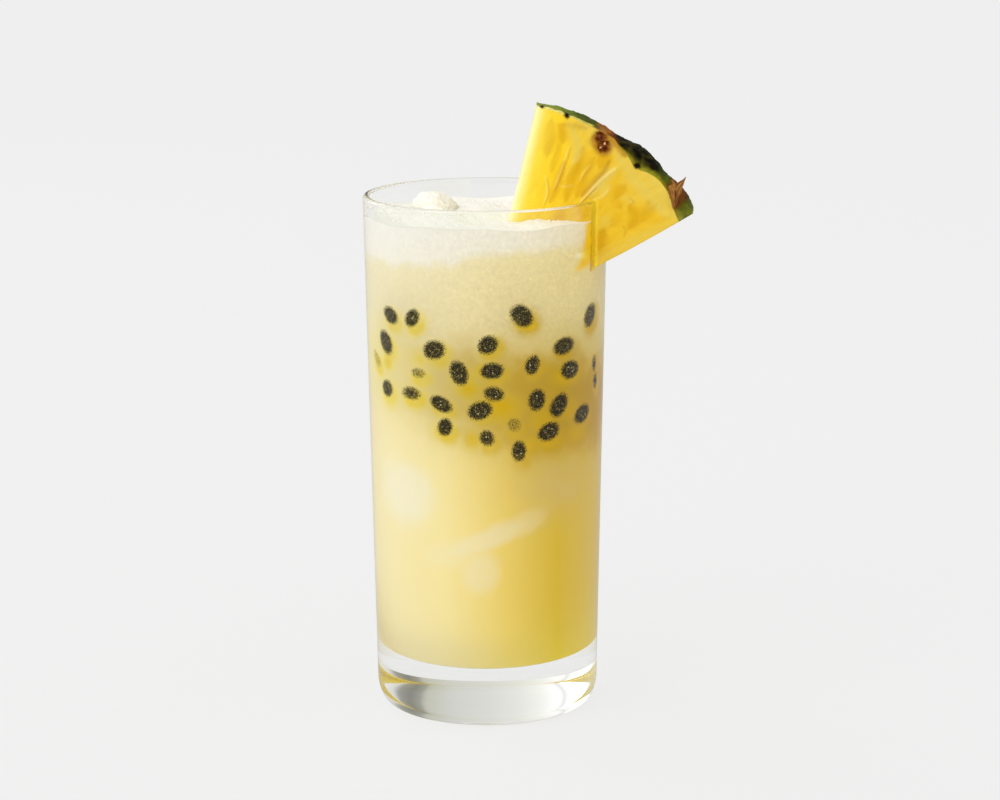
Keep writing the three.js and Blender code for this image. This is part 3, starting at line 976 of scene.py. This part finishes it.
# More marks: the same, in mm from the slice's centre
ADDED_MARKS = (
    ("deep", 1.5, 0.8, ((18.5, 49.5), (19.5, 47), (19.5, 45))),
    ("deep", 1.6, 0.8, ((31.5, 42.5), (30, 40.5), (29, 38.5))),
    ("deep", 1.4, 0.7, ((25.5, 36.5), (24, 34), (23, 31))),
    ("deep", 1.6, 0.8, ((35.5, 33.5), (34, 32), (33, 30.5))),
    ("deep", 1.8, 0.8, ((43, 28.5), (41, 26.5), (39.5, 24.5))),
    ("pale", 1.2, 0.5, ((34.5, 30.5), (36.5, 30.5), (38, 29.5))),
    ("tan", 1.2, 0.9, ((29.2, 48.1), (32.6, 45.8), (33.5, 43.5))),
    ("tan", 0.9, 0.8, ((27.3, 46.6), (27.4, 43.6))),
    ("tan", 0.9, 0.9, ((33, 44.8), (34.6, 42.8), (35.6, 41.2))),
)
# Height in mm that a mark of each tone gives the face
MARK_RELIEF = {"deep": -0.14, "pale": 0.14, "tan": 0.0, "shade": -0.3, "fibre": 0.24}
# Skin from the low end to the high end: angle and colour
SKIN = (
    (26.4, "#6c7020"), (29.2, "#565a12"), (30.4, "#5c340c"), (33.0, "#6a3c0e"), (35.8, "#5e380c"),
    (37.2, "#4d5410"), (40.0, "#333a0a"), (41.6, "#120f04"), (53.2, "#0f0b04"), (54.4, "#5a2c0c"),
    (56.5, "#9a5d22"), (59.0, "#94642a"), (60.4, "#4f5214"), (63.0, "#4c5612"), (67.0, "#67761c"),
    (71.0, "#7f8c2c"), (76.5, "#8e9442"),
)
# Margin of the skin along the flesh
MARGIN = (
    (26.4, "#8c9030"), (30.0, "#80600f"), (36.0, "#84700f"), (41.0, "#8b8a1c"), (52.0, "#9a8a1e"),
    (54.0, "#b27a24"), (59.0, "#c8963a"), (61.0, "#cdbc4c"), (76.5, "#f0e68c"),
)


def slice_place(degrees, radius, depth):
    """Points of the slice from angle, radius and depth behind the front face."""
    angle = np.radians(degrees)
    return np.stack(
        [CENTRE[0] + radius * np.cos(angle), CENTRE[1] + depth, CENTRE[2] + radius * np.sin(angle)], axis=-1
    )


def rind_radius(degrees, through):
    """Radius of the skin, with the mounds of its eyes, as in the solids."""
    mounds = 0
    for angle, across, height in ((30, 0.7, 0.9), (45.5, 0.55, 1.1), (61, 0.8, 0.5)):
        reach = np.hypot(np.radians(degrees - angle) * 56.1, (through - across) * 12) / 7
        mounds = np.maximum(mounds, height * np.maximum(0, 1 - reach**2))
    return 56.1 + 3.2 * ease(-64, -LOW, -degrees) + mounds


def crop_place(pixel):
    """Place in mm from the slice's centre, to the right and up, of a pixel of the crop."""
    return CROP_LEFT + CROP_ACROSS * pixel[0], CROP_TOP - CROP_DOWN * pixel[1]


def all_marks():
    """Tone, half width, strength and line of every mark on the cut face, in mm."""
    marks = list(ADDED_MARKS)
    for tone, width, strength, line in DRAWN_MARKS:
        marks.append((tone, width * CROP_ACROSS, strength, [crop_place(pixel) for pixel in line]))
    return marks


def flesh_radius(degrees):
    """Radius of the line where flesh meets skin."""
    places = np.array([crop_place(pixel) for pixel in FLESH_LINE])
    angles = np.degrees(np.arctan2(places[:, 1], places[:, 0]))
    return np.interp(degrees, angles, np.hypot(places[:, 0], places[:, 1]))


def margin_width(degrees):
    """Share of the skin's thickness that its pale margin takes, by angle."""
    places = (36, 41, 47, 51, 58, 61, 67, 71)
    return np.interp(degrees, places, (0.42, 0.85, 0.6, 0.42, 0.42, 0.85, 0.85, 0.5))


def line_distance(flat, line):
    """Distance in mm of points of the cut face from a line, whose corners are first cut round, and
    how far along the line they lie, from 0 to 1."""
    knots = np.array(line)
    for _ in range(2):
        near = knots[:-1] * 0.75 + knots[1:] * 0.25
        far = knots[:-1] * 0.25 + knots[1:] * 0.75
        middle = np.stack([near, far], axis=1).reshape(-1, 2)
        knots = np.concatenate([knots[:1], middle, knots[-1:]])
    nearest, along = np.full(len(flat), 99.0), np.zeros(len(flat))
    for index, (start, end) in enumerate(zip(knots, knots[1:])):
        span = end - start
        share = np.clip(((flat - start) @ span) / (span @ span), 0, 1)
        apart = np.linalg.norm(flat - start - share[:, None] * span, axis=1)
        along = np.where(apart < nearest, (index + share) / (len(knots) - 1), along)
        nearest = np.minimum(nearest, apart)
    return nearest, along


def tones(degrees, stops):
    """Colours round the skin, from angle and hex code pairs."""
    angles = [angle for angle, _ in stops]
    codes = np.array([srgb(code) for _, code in stops])
    return np.stack([np.interp(degrees, angles, codes[:, i]) for i in range(4)], axis=-1)


def flat_places(degrees, radius):
    angle = np.radians(degrees)
    return np.stack([radius * np.cos(angle), radius * np.sin(angle)], axis=-1)


def face_marks(radius, degrees, depth, wander):
    """Strength of each tone at each point. The back face carries the marks turned over."""
    marks = {tone: np.zeros(len(radius)) for tone in MARK_RELIEF}
    front = 1 - ease(1.5, 4.5, depth)
    rear = ease(7.5, 10.5, depth)
    sides = ((front, flat_places(degrees, radius)), (rear, flat_places(103 - degrees, radius - 0.8)))
    for tone, width, strength, line in all_marks():
        for weight, flat in sides:
            apart, along = line_distance(flat, line)
            reach = apart / (width * (0.35 + 0.75 * np.sin(math.pi * along))) + 0.3 * wander
            marks[tone] = np.maximum(marks[tone], strength * weight * np.exp(-(reach**2)))
    return marks


def flesh_paint(settings, radius, degrees, depth, marks, wander):
    """Colour of the flesh: painted light, pale and glowing, at the cut edge towards the light, golden by
    lobes, pale by the skin.
    """
    edge = radius * np.sin(np.radians(HIGH - degrees))
    # Painted light: brighter flesh towards the lit edge
    paint = mix(np.array(settings.bright), np.array(settings.flesh), ease(7, 19, edge + 1.2 * wander))
    by_skin = 0.75 * ease(51.5, 55.2, radius + 1.4 * wander) * ease(-70, -62, -degrees)
    low = radius * np.sin(np.radians(degrees - LOW))
    by_edge = 0.45 * (1 - ease(0.4, 3.0, low + 0.5 * wander))
    paint = mix(paint, np.array(settings.deep), np.clip(marks["deep"] + 0.2 * wander, 0, 1))
    pale = np.max([marks["pale"], by_skin, by_edge], axis=0)
    paint = mix(paint, np.array(settings.pale), np.clip(pale, 0, 1))
    paint = mix(paint, np.array(settings.tan), marks["tan"])
    # Painted light: lemon flesh and a glow along the lit edge
    paint = mix(paint, np.array(settings.lemon), 0.8 * np.exp(-((edge / 5) ** 2)))
    paint = mix(paint, np.array(settings.glow), 0.85 * np.exp(-((edge / 1.6) ** 2)))
    # Painted shadow in the cracks, in the tan colour
    paint = mix(paint, np.array(settings.tan), 0.7 * marks["shade"])
    # Paler along the raised fibres: partly their own tone, partly painted highlight on the ridges
    return mix(paint, np.array(settings.fibre), 0.4 * marks["fibre"])


class COOLER_OT_pineapple(bpy.types.Operator):
    """Cuts the pineapple wedge with its flesh, skin, pit and torn scale"""

    bl_idname = "cooler.pineapple"
    bl_label = "Pineapple wedge"

    def execute(self, context):
        settings = context.scene.cooler_wedge
        thickness = settings.thickness / MM
        bm = lattice((150, 18, 170))
        unit = coords(bm)
        across, through, share = unit[:, 0], unit[:, 1], unit[:, 2]
        flat = HIGH + (LOW - HIGH) * across
        outer = rind_radius(flat, through) - 0.7 * ease(69, 76.5, flat) * through
        edge = flesh_radius(flat) + 0.35 * through
        flesh = np.minimum(edge, outer - 0.4)
        inside = np.minimum(share / FLESH_SHARE, 1)
        outside = np.clip((share - FLESH_SHARE) / (1 - FLESH_SHARE), 0, 1)
        radius = 2.5 + (flesh - 2.5) * inside + (outer - flesh) * outside
        bow = 1.2 * across * np.sin(math.pi * share)
        degrees = flat - np.degrees(bow / radius)
        depth = through * thickness
        points = slice_place(degrees, radius, depth)
        skin = outside > 0.02
        face = np.where(through < 0.001, -1.0, np.where(through > 0.999, 1.0, 0.0))
        # Lobes of flesh run out from the core, 2 mm wide and 8 mm long
        spread = np.radians(degrees - 51) * 38
        wander = rough(np.stack([radius * 0.28, spread, depth * 0.6], axis=-1), 2.4, 4, 3)
        marks = face_marks(radius, degrees, depth, wander)
        paint = flesh_paint(settings, radius, degrees, depth, marks, wander)
        height = 0.22 * wander + 0.12 * rough(points, 5, 21, 2)
        for tone, relief in MARK_RELIEF.items():
            height += relief * marks[tone]
        height *= ease(4, 10, radius) * (1 - skin) * (np.abs(face) > 0)
        # Pit of an eye in two hollows, with its dry flower inside
        lumps = rough(points, 0.9, 31, 2)
        place = flat_places(degrees, radius)
        upper = np.linalg.norm(place - (29.2, 46.1), axis=1) / 1.15
        lower = np.linalg.norm(place - (29.9, 43.8), axis=1) / 1.25
        pit = np.minimum(upper, lower)
        hole = (1 - ease(0.75, 1.75, pit + 0.35 * lumps)) * (depth < 3) * (1 - skin)
        height -= hole * (1.3 - 0.5 * lumps) * (face < 0)
        burnt = mix(np.array(srgb("#5c2406")), np.array(srgb("#9c5420")), np.clip(0.35 + 0.9 * lumps, 0, 1))
        ring = 0.8 * (1 - ease(1.2, 2.6, pit)) * (depth < 3) * (1 - skin)
        paint = mix(paint, np.array(srgb("#9c6414")), ring)
        paint = mix(paint, burnt, hole)
        # Painted light: where the wall of the glass runs through the slit the flesh is painted bright,
        # shining with its light
        wall = 0.95 * np.exp(-(((place[:, 0] - 27.2) / 1.2) ** 4)) * (place[:, 1] < 30)
        paint = mix(paint, np.array(srgb("#ffde34")), wall)
        points[:, 1] += face * height
        side = rough(points, 2.4, 41, 3)
        rind = tones(degrees + 0.9 * side, SKIN)
        rind[:, :3] *= (1 + 0.35 * side)[:, None]
        moss = ease(41, 43, degrees) * (1 - ease(52, 54, degrees))
        moss = moss * np.clip(0.3 + 1.1 * rough(points, 1.9, 53, 2), 0, 1)
        rind = mix(rind, np.array(srgb("#45400a")), 0.85 * moss)
        margin = 1 - ease(0.04, margin_width(degrees), outside + 0.12 * side + 0.3 * (face == 0))
        margin = np.maximum(margin, ease(60, 62, degrees) * (depth < 0.8))
        rind = mix(rind, tones(degrees, MARGIN), margin * 0.9)
        paint = np.where(skin[:, None], rind, paint)
        for r, a, size in ((55.9, 68.4, 0.85), (56.0, 75.4, 0.6), (54.7, 45.3, 0.9), (57.4, 42.2, 0.9)):
            spots = np.hypot(radius - r, np.radians(degrees - a) * radius)
            dot = (1 - ease(size * 0.6, size * 1.3, spots + 0.35 * lumps)) * (depth < 2)
            paint = mix(paint, np.array(settings.eye), dot)
        dark = ease(40.5, 42.5, degrees) * (1 - ease(52.5, 54, degrees))
        knobs = 0.3 * rough(points, 1.8, 51, 3) + 0.35 * dark * rough(points, 3.0, 52, 2)
        away = np.stack([np.cos(np.radians(degrees)), 0 * degrees, np.sin(np.radians(degrees))], axis=-1)
        points += np.where(skin & (face == 0), knobs, 0)[:, None] * away
        move(bm, points)
        ends = [(u < 0.02) | (u > 0.98) for u in (across, through, share)]
        corner = (ends[0].astype(int) + ends[1] + ends[2]) >= 2
        bm.verts.ensure_lookup_table()
        soft = [bm.verts[i] for i in np.flatnonzero(corner)]
        for _ in range(3):
            bmesh.ops.smooth_vert(
                bm, verts=soft, factor=0.5, use_axis_x=True, use_axis_y=True, use_axis_z=True
            )
        bmesh.ops.recalc_face_normals(bm, faces=bm.faces)
        for polygon in bm.faces:
            polygon.material_index = int(all(skin[vert.index] for vert in polygon.verts))
        grain = np.stack([radius, spread, depth], axis=-1) * MM
        piece(
            "pineapple_wedge_cut", bm, [flesh_material(), rind_material()], ["pineapple_wedge"],
            {"paint": paint, "grain": grain},
        )
        self.bract(settings)
        self.juice(settings)
        return {"FINISHED"}

    def bract(self, settings):
        """The torn two-horned scale that stands off the lowest eye."""
        horns = (
            ((48.0, 27.9), (48.2, 30.6), (48.7, 32.6), (49.7, 33.9), (50.6, 34.8), (51.2, 35.6)),
            ((48.1, 29.6), (47.9, 31.6), (47.5, 33.2), (47.1, 34.2), (46.6, 34.6), (46.1, 34.6)),
        )
        widths = ((0.3, 1.0, 1.45, 0.8, 0.35, 0.05), (0.6, 1.3, 1.3, 1.0, 0.7, 0.3))
        bm = bmesh.new()
        store = bpy.data.meshes.new("scale")
        paints = []
        for horn, half in zip(horns, widths):
            part = lattice((14, 5, 34))
            unit = coords(part)
            along, knots = unit[:, 2], np.linspace(0, 1, 6)
            u, v = (np.interp(along, knots, column) for column in zip(*horn))
            wide = np.interp(along, knots, half)
            slope = np.gradient(np.array(horn), axis=0)
            slope /= np.linalg.norm(slope, axis=1, keepdims=True)
            down, right = (np.interp(along, knots, slope[:, i]) for i in (0, 1))
            side = (unit[:, 0] - 0.5) * 2
            thick = 0.15 + 0.6 * np.sqrt(np.maximum(0, 1 - side**2))
            thick *= np.interp(along, (0, 0.7, 1), (1, 0.8, 0.12))
            depth = -0.1 + 2.6 * along**2 + (unit[:, 1] - 0.5) * 2 * thick
            offset = [u + side * wide * right, depth, v - side * wide * down]
            points = np.array(CENTRE) + np.stack(offset, axis=-1)
            points += 0.25 * rough(points, 1.1, 61, 3)[:, None] * np.minimum(1, 4 * (1 - along))[:, None]
            move(part, points)
            lines = np.stack([side * 3, along * 2, side], axis=-1)
            ridges = np.clip(0.5 + 0.9 * rough(lines, 0.9, 62, 2), 0, 1)
            paints.append(mix(np.array(srgb("#5a2c0a")), np.array(settings.bract), ridges))
            part.to_mesh(store)
            bm.from_mesh(store)
            part.free()
        bpy.data.meshes.remove(store)
        bmesh.ops.recalc_face_normals(bm, faces=bm.faces)
        grain = coords(bm) * MM
        paint = np.concatenate(paints)
        piece("pineapple_bract", bm, [rind_material()], (), {"paint": paint, "grain": grain})

    def juice(self, settings):
        """Beads of juice in the pit, whose pale colour is a painted glint where they catch the light."""
        bm = bmesh.new()
        for u, v, size in ((30.2, 44.5, 0.36), (29.1, 43.5, 0.3)):
            place = Matrix.Translation((CENTRE[0] + u, CENTRE[1] + 0.45, CENTRE[2] + v))
            bmesh.ops.create_icosphere(bm, subdivisions=3, radius=size, matrix=place)
        for vert in bm.verts:
            vert.co *= 1 + 0.002 * noise.noise(vert.co * 2)
        material, tree, shader = blank("bead of pineapple juice")
        fill(tree, shader, {"Base Color": srgb("#d8a06a"), "Roughness": 0.2})
        piece("pineapple_juice", bm, [material])


def flesh_material():
    """Cut pineapple: wet translucent flesh whose fibres run out from the core."""
    material, tree, shader = blank("cut pineapple flesh")
    paint = put(tree, "ShaderNodeAttribute", attribute_name="paint").outputs["Color"]
    grain = put(tree, "ShaderNodeAttribute", attribute_name="grain").outputs["Vector"]
    # Fibres 0.9 mm apart and some 6 mm long
    drawn = put(tree, "ShaderNodeMapping", {"Vector": grain, "Scale": (170.0, 1100.0, 400.0)}).outputs[0]
    fibres = put(tree, "ShaderNodeTexNoise", {"Vector": drawn, "Scale": 1.0, "Detail": 2.0}).outputs["Fac"]
    tone = put(
        tree, "ShaderNodeMapRange",
        {"Value": fibres, "From Min": 0.3, "From Max": 0.7, "To Min": 0.975, "To Max": 1.02},
    ).outputs[0]
    body = put(
        tree, "ShaderNodeMix", {0: 1.0, 6: paint, 7: tone}, data_type="RGBA", blend_type="MULTIPLY"
    ).outputs[2]
    relief = put(tree, "ShaderNodeBump", {"Strength": 0.3, "Distance": 0.0003, "Height": fibres}).outputs[0]
    surface = {
        "Base Color": body, "Normal": relief, "Roughness": 0.28, "Specular IOR Level": 0.18,
        "Subsurface Weight": 0.35, "Subsurface Radius": (1.0, 0.8, 0.25), "Subsurface Scale": 0.0015,
    }
    fill(tree, shader, surface)
    return material


def rind_material():
    """Pineapple skin: waxy, knobbly and dark, with hardly any gloss on its bumps."""
    material, tree, shader = blank("pineapple skin")
    paint = put(tree, "ShaderNodeAttribute", attribute_name="paint").outputs["Color"]
    place = put(tree, "ShaderNodeTexCoord").outputs["Object"]
    knobs = put(tree, "ShaderNodeTexNoise", {"Vector": place, "Scale": 900.0, "Detail": 4.0}).outputs["Fac"]
    tone = put(
        tree, "ShaderNodeMapRange",
        {"Value": knobs, "From Min": 0.3, "From Max": 0.7, "To Min": 0.75, "To Max": 1.25},
    ).outputs[0]
    body = put(
        tree, "ShaderNodeMix", {0: 1.0, 6: paint, 7: tone}, data_type="RGBA", blend_type="MULTIPLY"
    ).outputs[2]
    relief = put(tree, "ShaderNodeBump", {"Strength": 0.6, "Distance": 0.0005, "Height": knobs}).outputs[0]
    surface = {"Base Color": body, "Normal": relief, "Roughness": 0.5, "Specular IOR Level": 0.06}
    fill(tree, shader, surface)
    return material


def mirror_ray(tree):
    """1 for a ray that came by a mirror image, and 0 for one that came through the glass."""
    path = put(tree, "ShaderNodeLightPath").outputs
    return put(
        tree, "ShaderNodeMath", {0: path["Is Glossy Ray"], 1: path["Is Transmission Ray"]},
        operation="SUBTRACT", use_clamp=True,
    ).outputs[0]


def pointing(place, target):
    return (Vector(target) - Vector(place)).to_track_quat("-Z", "Y").to_euler()


class COOLER_OT_stage(bpy.types.Operator):
    """Sets the pale floor, the soft light and the camera"""

    bl_idname = "cooler.stage"
    bl_label = "Stage"

    def execute(self, context):
        scene = context.scene
        settings = scene.cooler_stage
        self.floor(settings)
        self.world(scene, settings)
        self.light("soft_key", (-0.75, -0.75, 0.75), (0, 0, 0.07), 0.9, 1.2, settings.key)
        self.light("side_glow", (-0.9, 0.75, 0.45), (0, 0, 0.09), 0.5, 0.9, 0.6 * settings.key)
        self.camera(scene)
        scene.view_settings.view_transform = "Standard"
        scene.cycles.use_denoising = True
        scene.cycles.max_bounces = 28
        scene.cycles.diffuse_bounces = 10
        scene.cycles.glossy_bounces = 12
        scene.cycles.transmission_bounces = 20
        scene.cycles.transparent_max_bounces = 8
        # The filter would roughen the glass for light off the drink, which loses a third of it
        scene.cycles.blur_glossy = 0.0
        return {"FINISHED"}

    def floor(self, settings):
        """Seamless sheet that glows with its own even tone and takes a faint shadow."""
        bm = bmesh.new()
        bmesh.ops.create_grid(bm, x_segments=2, y_segments=2, size=6.0)
        bmesh.ops.translate(bm, verts=bm.verts, vec=(0, 0, -0.0001))
        mesh = bpy.data.meshes.new("floor")
        bm.to_mesh(mesh)
        bm.free()
        material, tree, shader = blank("seamless paper")
        tone = settings.floor[0]
        place = put(tree, "ShaderNodeTexCoord").outputs["Object"]
        parts = put(tree, "ShaderNodeSeparateXYZ", {0: place}).outputs
        # In mirror images the floor before the glass is dark, as the viewer's side of a studio is
        front = {"Value": parts["Y"], "From Min": 0.02, "From Max": -0.08, "To Min": 0.5, "To Max": 0.25}
        image = put(tree, "ShaderNodeMapRange", front).outputs[0]
        glow = {0: mirror_ray(tree), 2: 0.88, 3: image}
        surface = {
            "Base Color": (0.1, 0.1, 0.1, 1), "Roughness": 1.0, "Specular IOR Level": 0.0,
            "Emission Color": (tone, tone, tone, 1),
            "Emission Strength": put(tree, "ShaderNodeMix", glow, data_type="FLOAT").outputs[0],
        }
        fill(tree, shader, surface)
        material.cycles.emission_sampling = "NONE"
        mesh.materials.append(material)
        floor = bpy.data.objects.new("floor", mesh)
        bpy.context.scene.collection.objects.link(floor)

    def world(self, scene, settings):
        """Soft light: bright from the left, dim from the right, and the floor's tone in view."""
        world = bpy.data.worlds.new("studio")
        world.use_nodes = True
        scene.world = world
        tree = world.node_tree
        tree.nodes.clear()
        way = put(tree, "ShaderNodeTexCoord").outputs["Generated"]
        # Straight behind the glass the turn is 0, and it grows to the right. The dark flag behind
        # on the right is what the base of the glass bends to its left edge.
        parts = put(tree, "ShaderNodeSeparateXYZ", {0: way}).outputs
        turn = put(tree, "ShaderNodeMath", {0: parts["X"], 1: parts["Y"]}, operation="ARCTAN2").outputs[0]
        share = put(
            tree, "ShaderNodeMapRange", {"Value": turn, "From Min": -math.pi, "From Max": math.pi}
        ).outputs[0]
        levels = (
            (-180, 1.0), (-120, 1.1), (-60, 1.1), (-36, 1.05), (-34, 0.8), (-32, 1.05), (-28, 1.05),
            (-20, 0.9), (-12, 0.79), (0, 0.69), (12, 0.63), (22, 0.54), (25, 0.5), (28, 0.3), (34, 0.2),
            (44, 0.28), (52, 0.7), (70, 0.95), (100, 1.15), (180, 1.0),
        )
        stops = []
        for degrees, level in levels:
            tint = 0.86 if 20 < degrees < 50 else 0.95 if -25 < degrees < 20 else 1.0
            stops.append(((degrees + 180) / 360, (level, level, level * tint, 1)))
        room = put(tree, "ShaderNodeValToRGB", {0: share}, stops=stops).outputs[0]
        facing = put(
            tree, "ShaderNodeVectorMath", {0: way, 1: (0.0, -1.0, 0.0)}, operation="DOT_PRODUCT"
        ).outputs["Value"]
        dim = {"Value": facing, "From Min": 0.1, "From Max": 0.7, "To Min": 0.42, "To Max": 0.26}
        image = put(tree, "ShaderNodeMapRange", dim).outputs[0]
        strength = put(tree, "ShaderNodeMix", {0: mirror_ray(tree), 2: 1.05, 3: image}, data_type="FLOAT")
        lit = put(tree, "ShaderNodeBackground", {"Color": room, "Strength": strength.outputs[0]}).outputs[0]
        seen = put(tree, "ShaderNodeBackground", {"Color": settings.floor, "Strength": 1.0}).outputs[0]
        eye = put(tree, "ShaderNodeLightPath").outputs["Is Camera Ray"]
        both = put(tree, "ShaderNodeMixShader", {0: eye, 1: lit, 2: seen}).outputs[0]
        put(tree, "ShaderNodeOutputWorld", {"Surface": both})

    def light(self, name, place, target, width, height, power):
        lamp = bpy.data.lights.new(name, "AREA")
        lamp.shape = "RECTANGLE"
        lamp.size = width
        lamp.size_y = height
        lamp.energy = power
        made = bpy.data.objects.new(name, lamp)
        made.location = place
        made.rotation_euler = pointing(place, target)
        bpy.context.scene.collection.objects.link(made)

    def camera(self, scene):
        """Camera of the photograph: 800 mm off, 13 degrees above the level, on a 108 mm lens."""
        place, right, up, forward = camera_axes()
        data = bpy.data.cameras.new("camera")
        data.sensor_width = SENSOR
        data.lens = LENS
        data.clip_start = 0.01
        data.clip_end = 50
        camera = bpy.data.objects.new("camera", data)
        basis = Matrix((right, up, -forward)).transposed().to_4x4()
        camera.matrix_world = Matrix.Translation(place) @ basis
        scene.collection.objects.link(camera)
        scene.camera = camera


class COOLER_PT_panel(bpy.types.Panel):
    """Lists the pieces of the cooler"""

    bl_idname = "COOLER_PT_panel"
    bl_label = "Cooler"
    bl_space_type = "VIEW_3D"
    bl_region_type = "UI"
    bl_category = "Cooler"

    def draw(self, context):
        for operator in OPERATORS:
            self.layout.operator(operator.bl_idname)


OPERATORS = (
    COOLER_OT_glass,
    COOLER_OT_drink,
    COOLER_OT_foam,
    COOLER_OT_bubbles,
    COOLER_OT_seeds,
    COOLER_OT_ice,
    COOLER_OT_pineapple,
    COOLER_OT_stage,
)
SETTINGS = {
    "cooler_glass": GlassSettings,
    "cooler_drink": DrinkSettings,
    "cooler_seeds": SeedSettings,
    "cooler_foam": FoamSettings,
    "cooler_ice": IceSettings,
    "cooler_wedge": WedgeSettings,
    "cooler_stage": StageSettings,
}


def register():
    for cls in (*SETTINGS.values(), *OPERATORS, COOLER_PT_panel):
        bpy.utils.register_class(cls)
    for name, cls in SETTINGS.items():
        setattr(bpy.types.Scene, name, PointerProperty(type=cls))


def unregister():
    for name in SETTINGS:
        delattr(bpy.types.Scene, name)
    for cls in reversed((*SETTINGS.values(), *OPERATORS, COOLER_PT_panel)):
        bpy.utils.unregister_class(cls)


def main():
    register()
    bpy.ops.cooler.glass()
    bpy.ops.cooler.drink()
    bpy.ops.cooler.foam()
    bpy.ops.cooler.bubbles()
    bpy.ops.cooler.seeds()
    bpy.ops.cooler.ice()
    bpy.ops.cooler.pineapple()
    bpy.ops.cooler.stage()


if __name__ == "__main__":
    main()
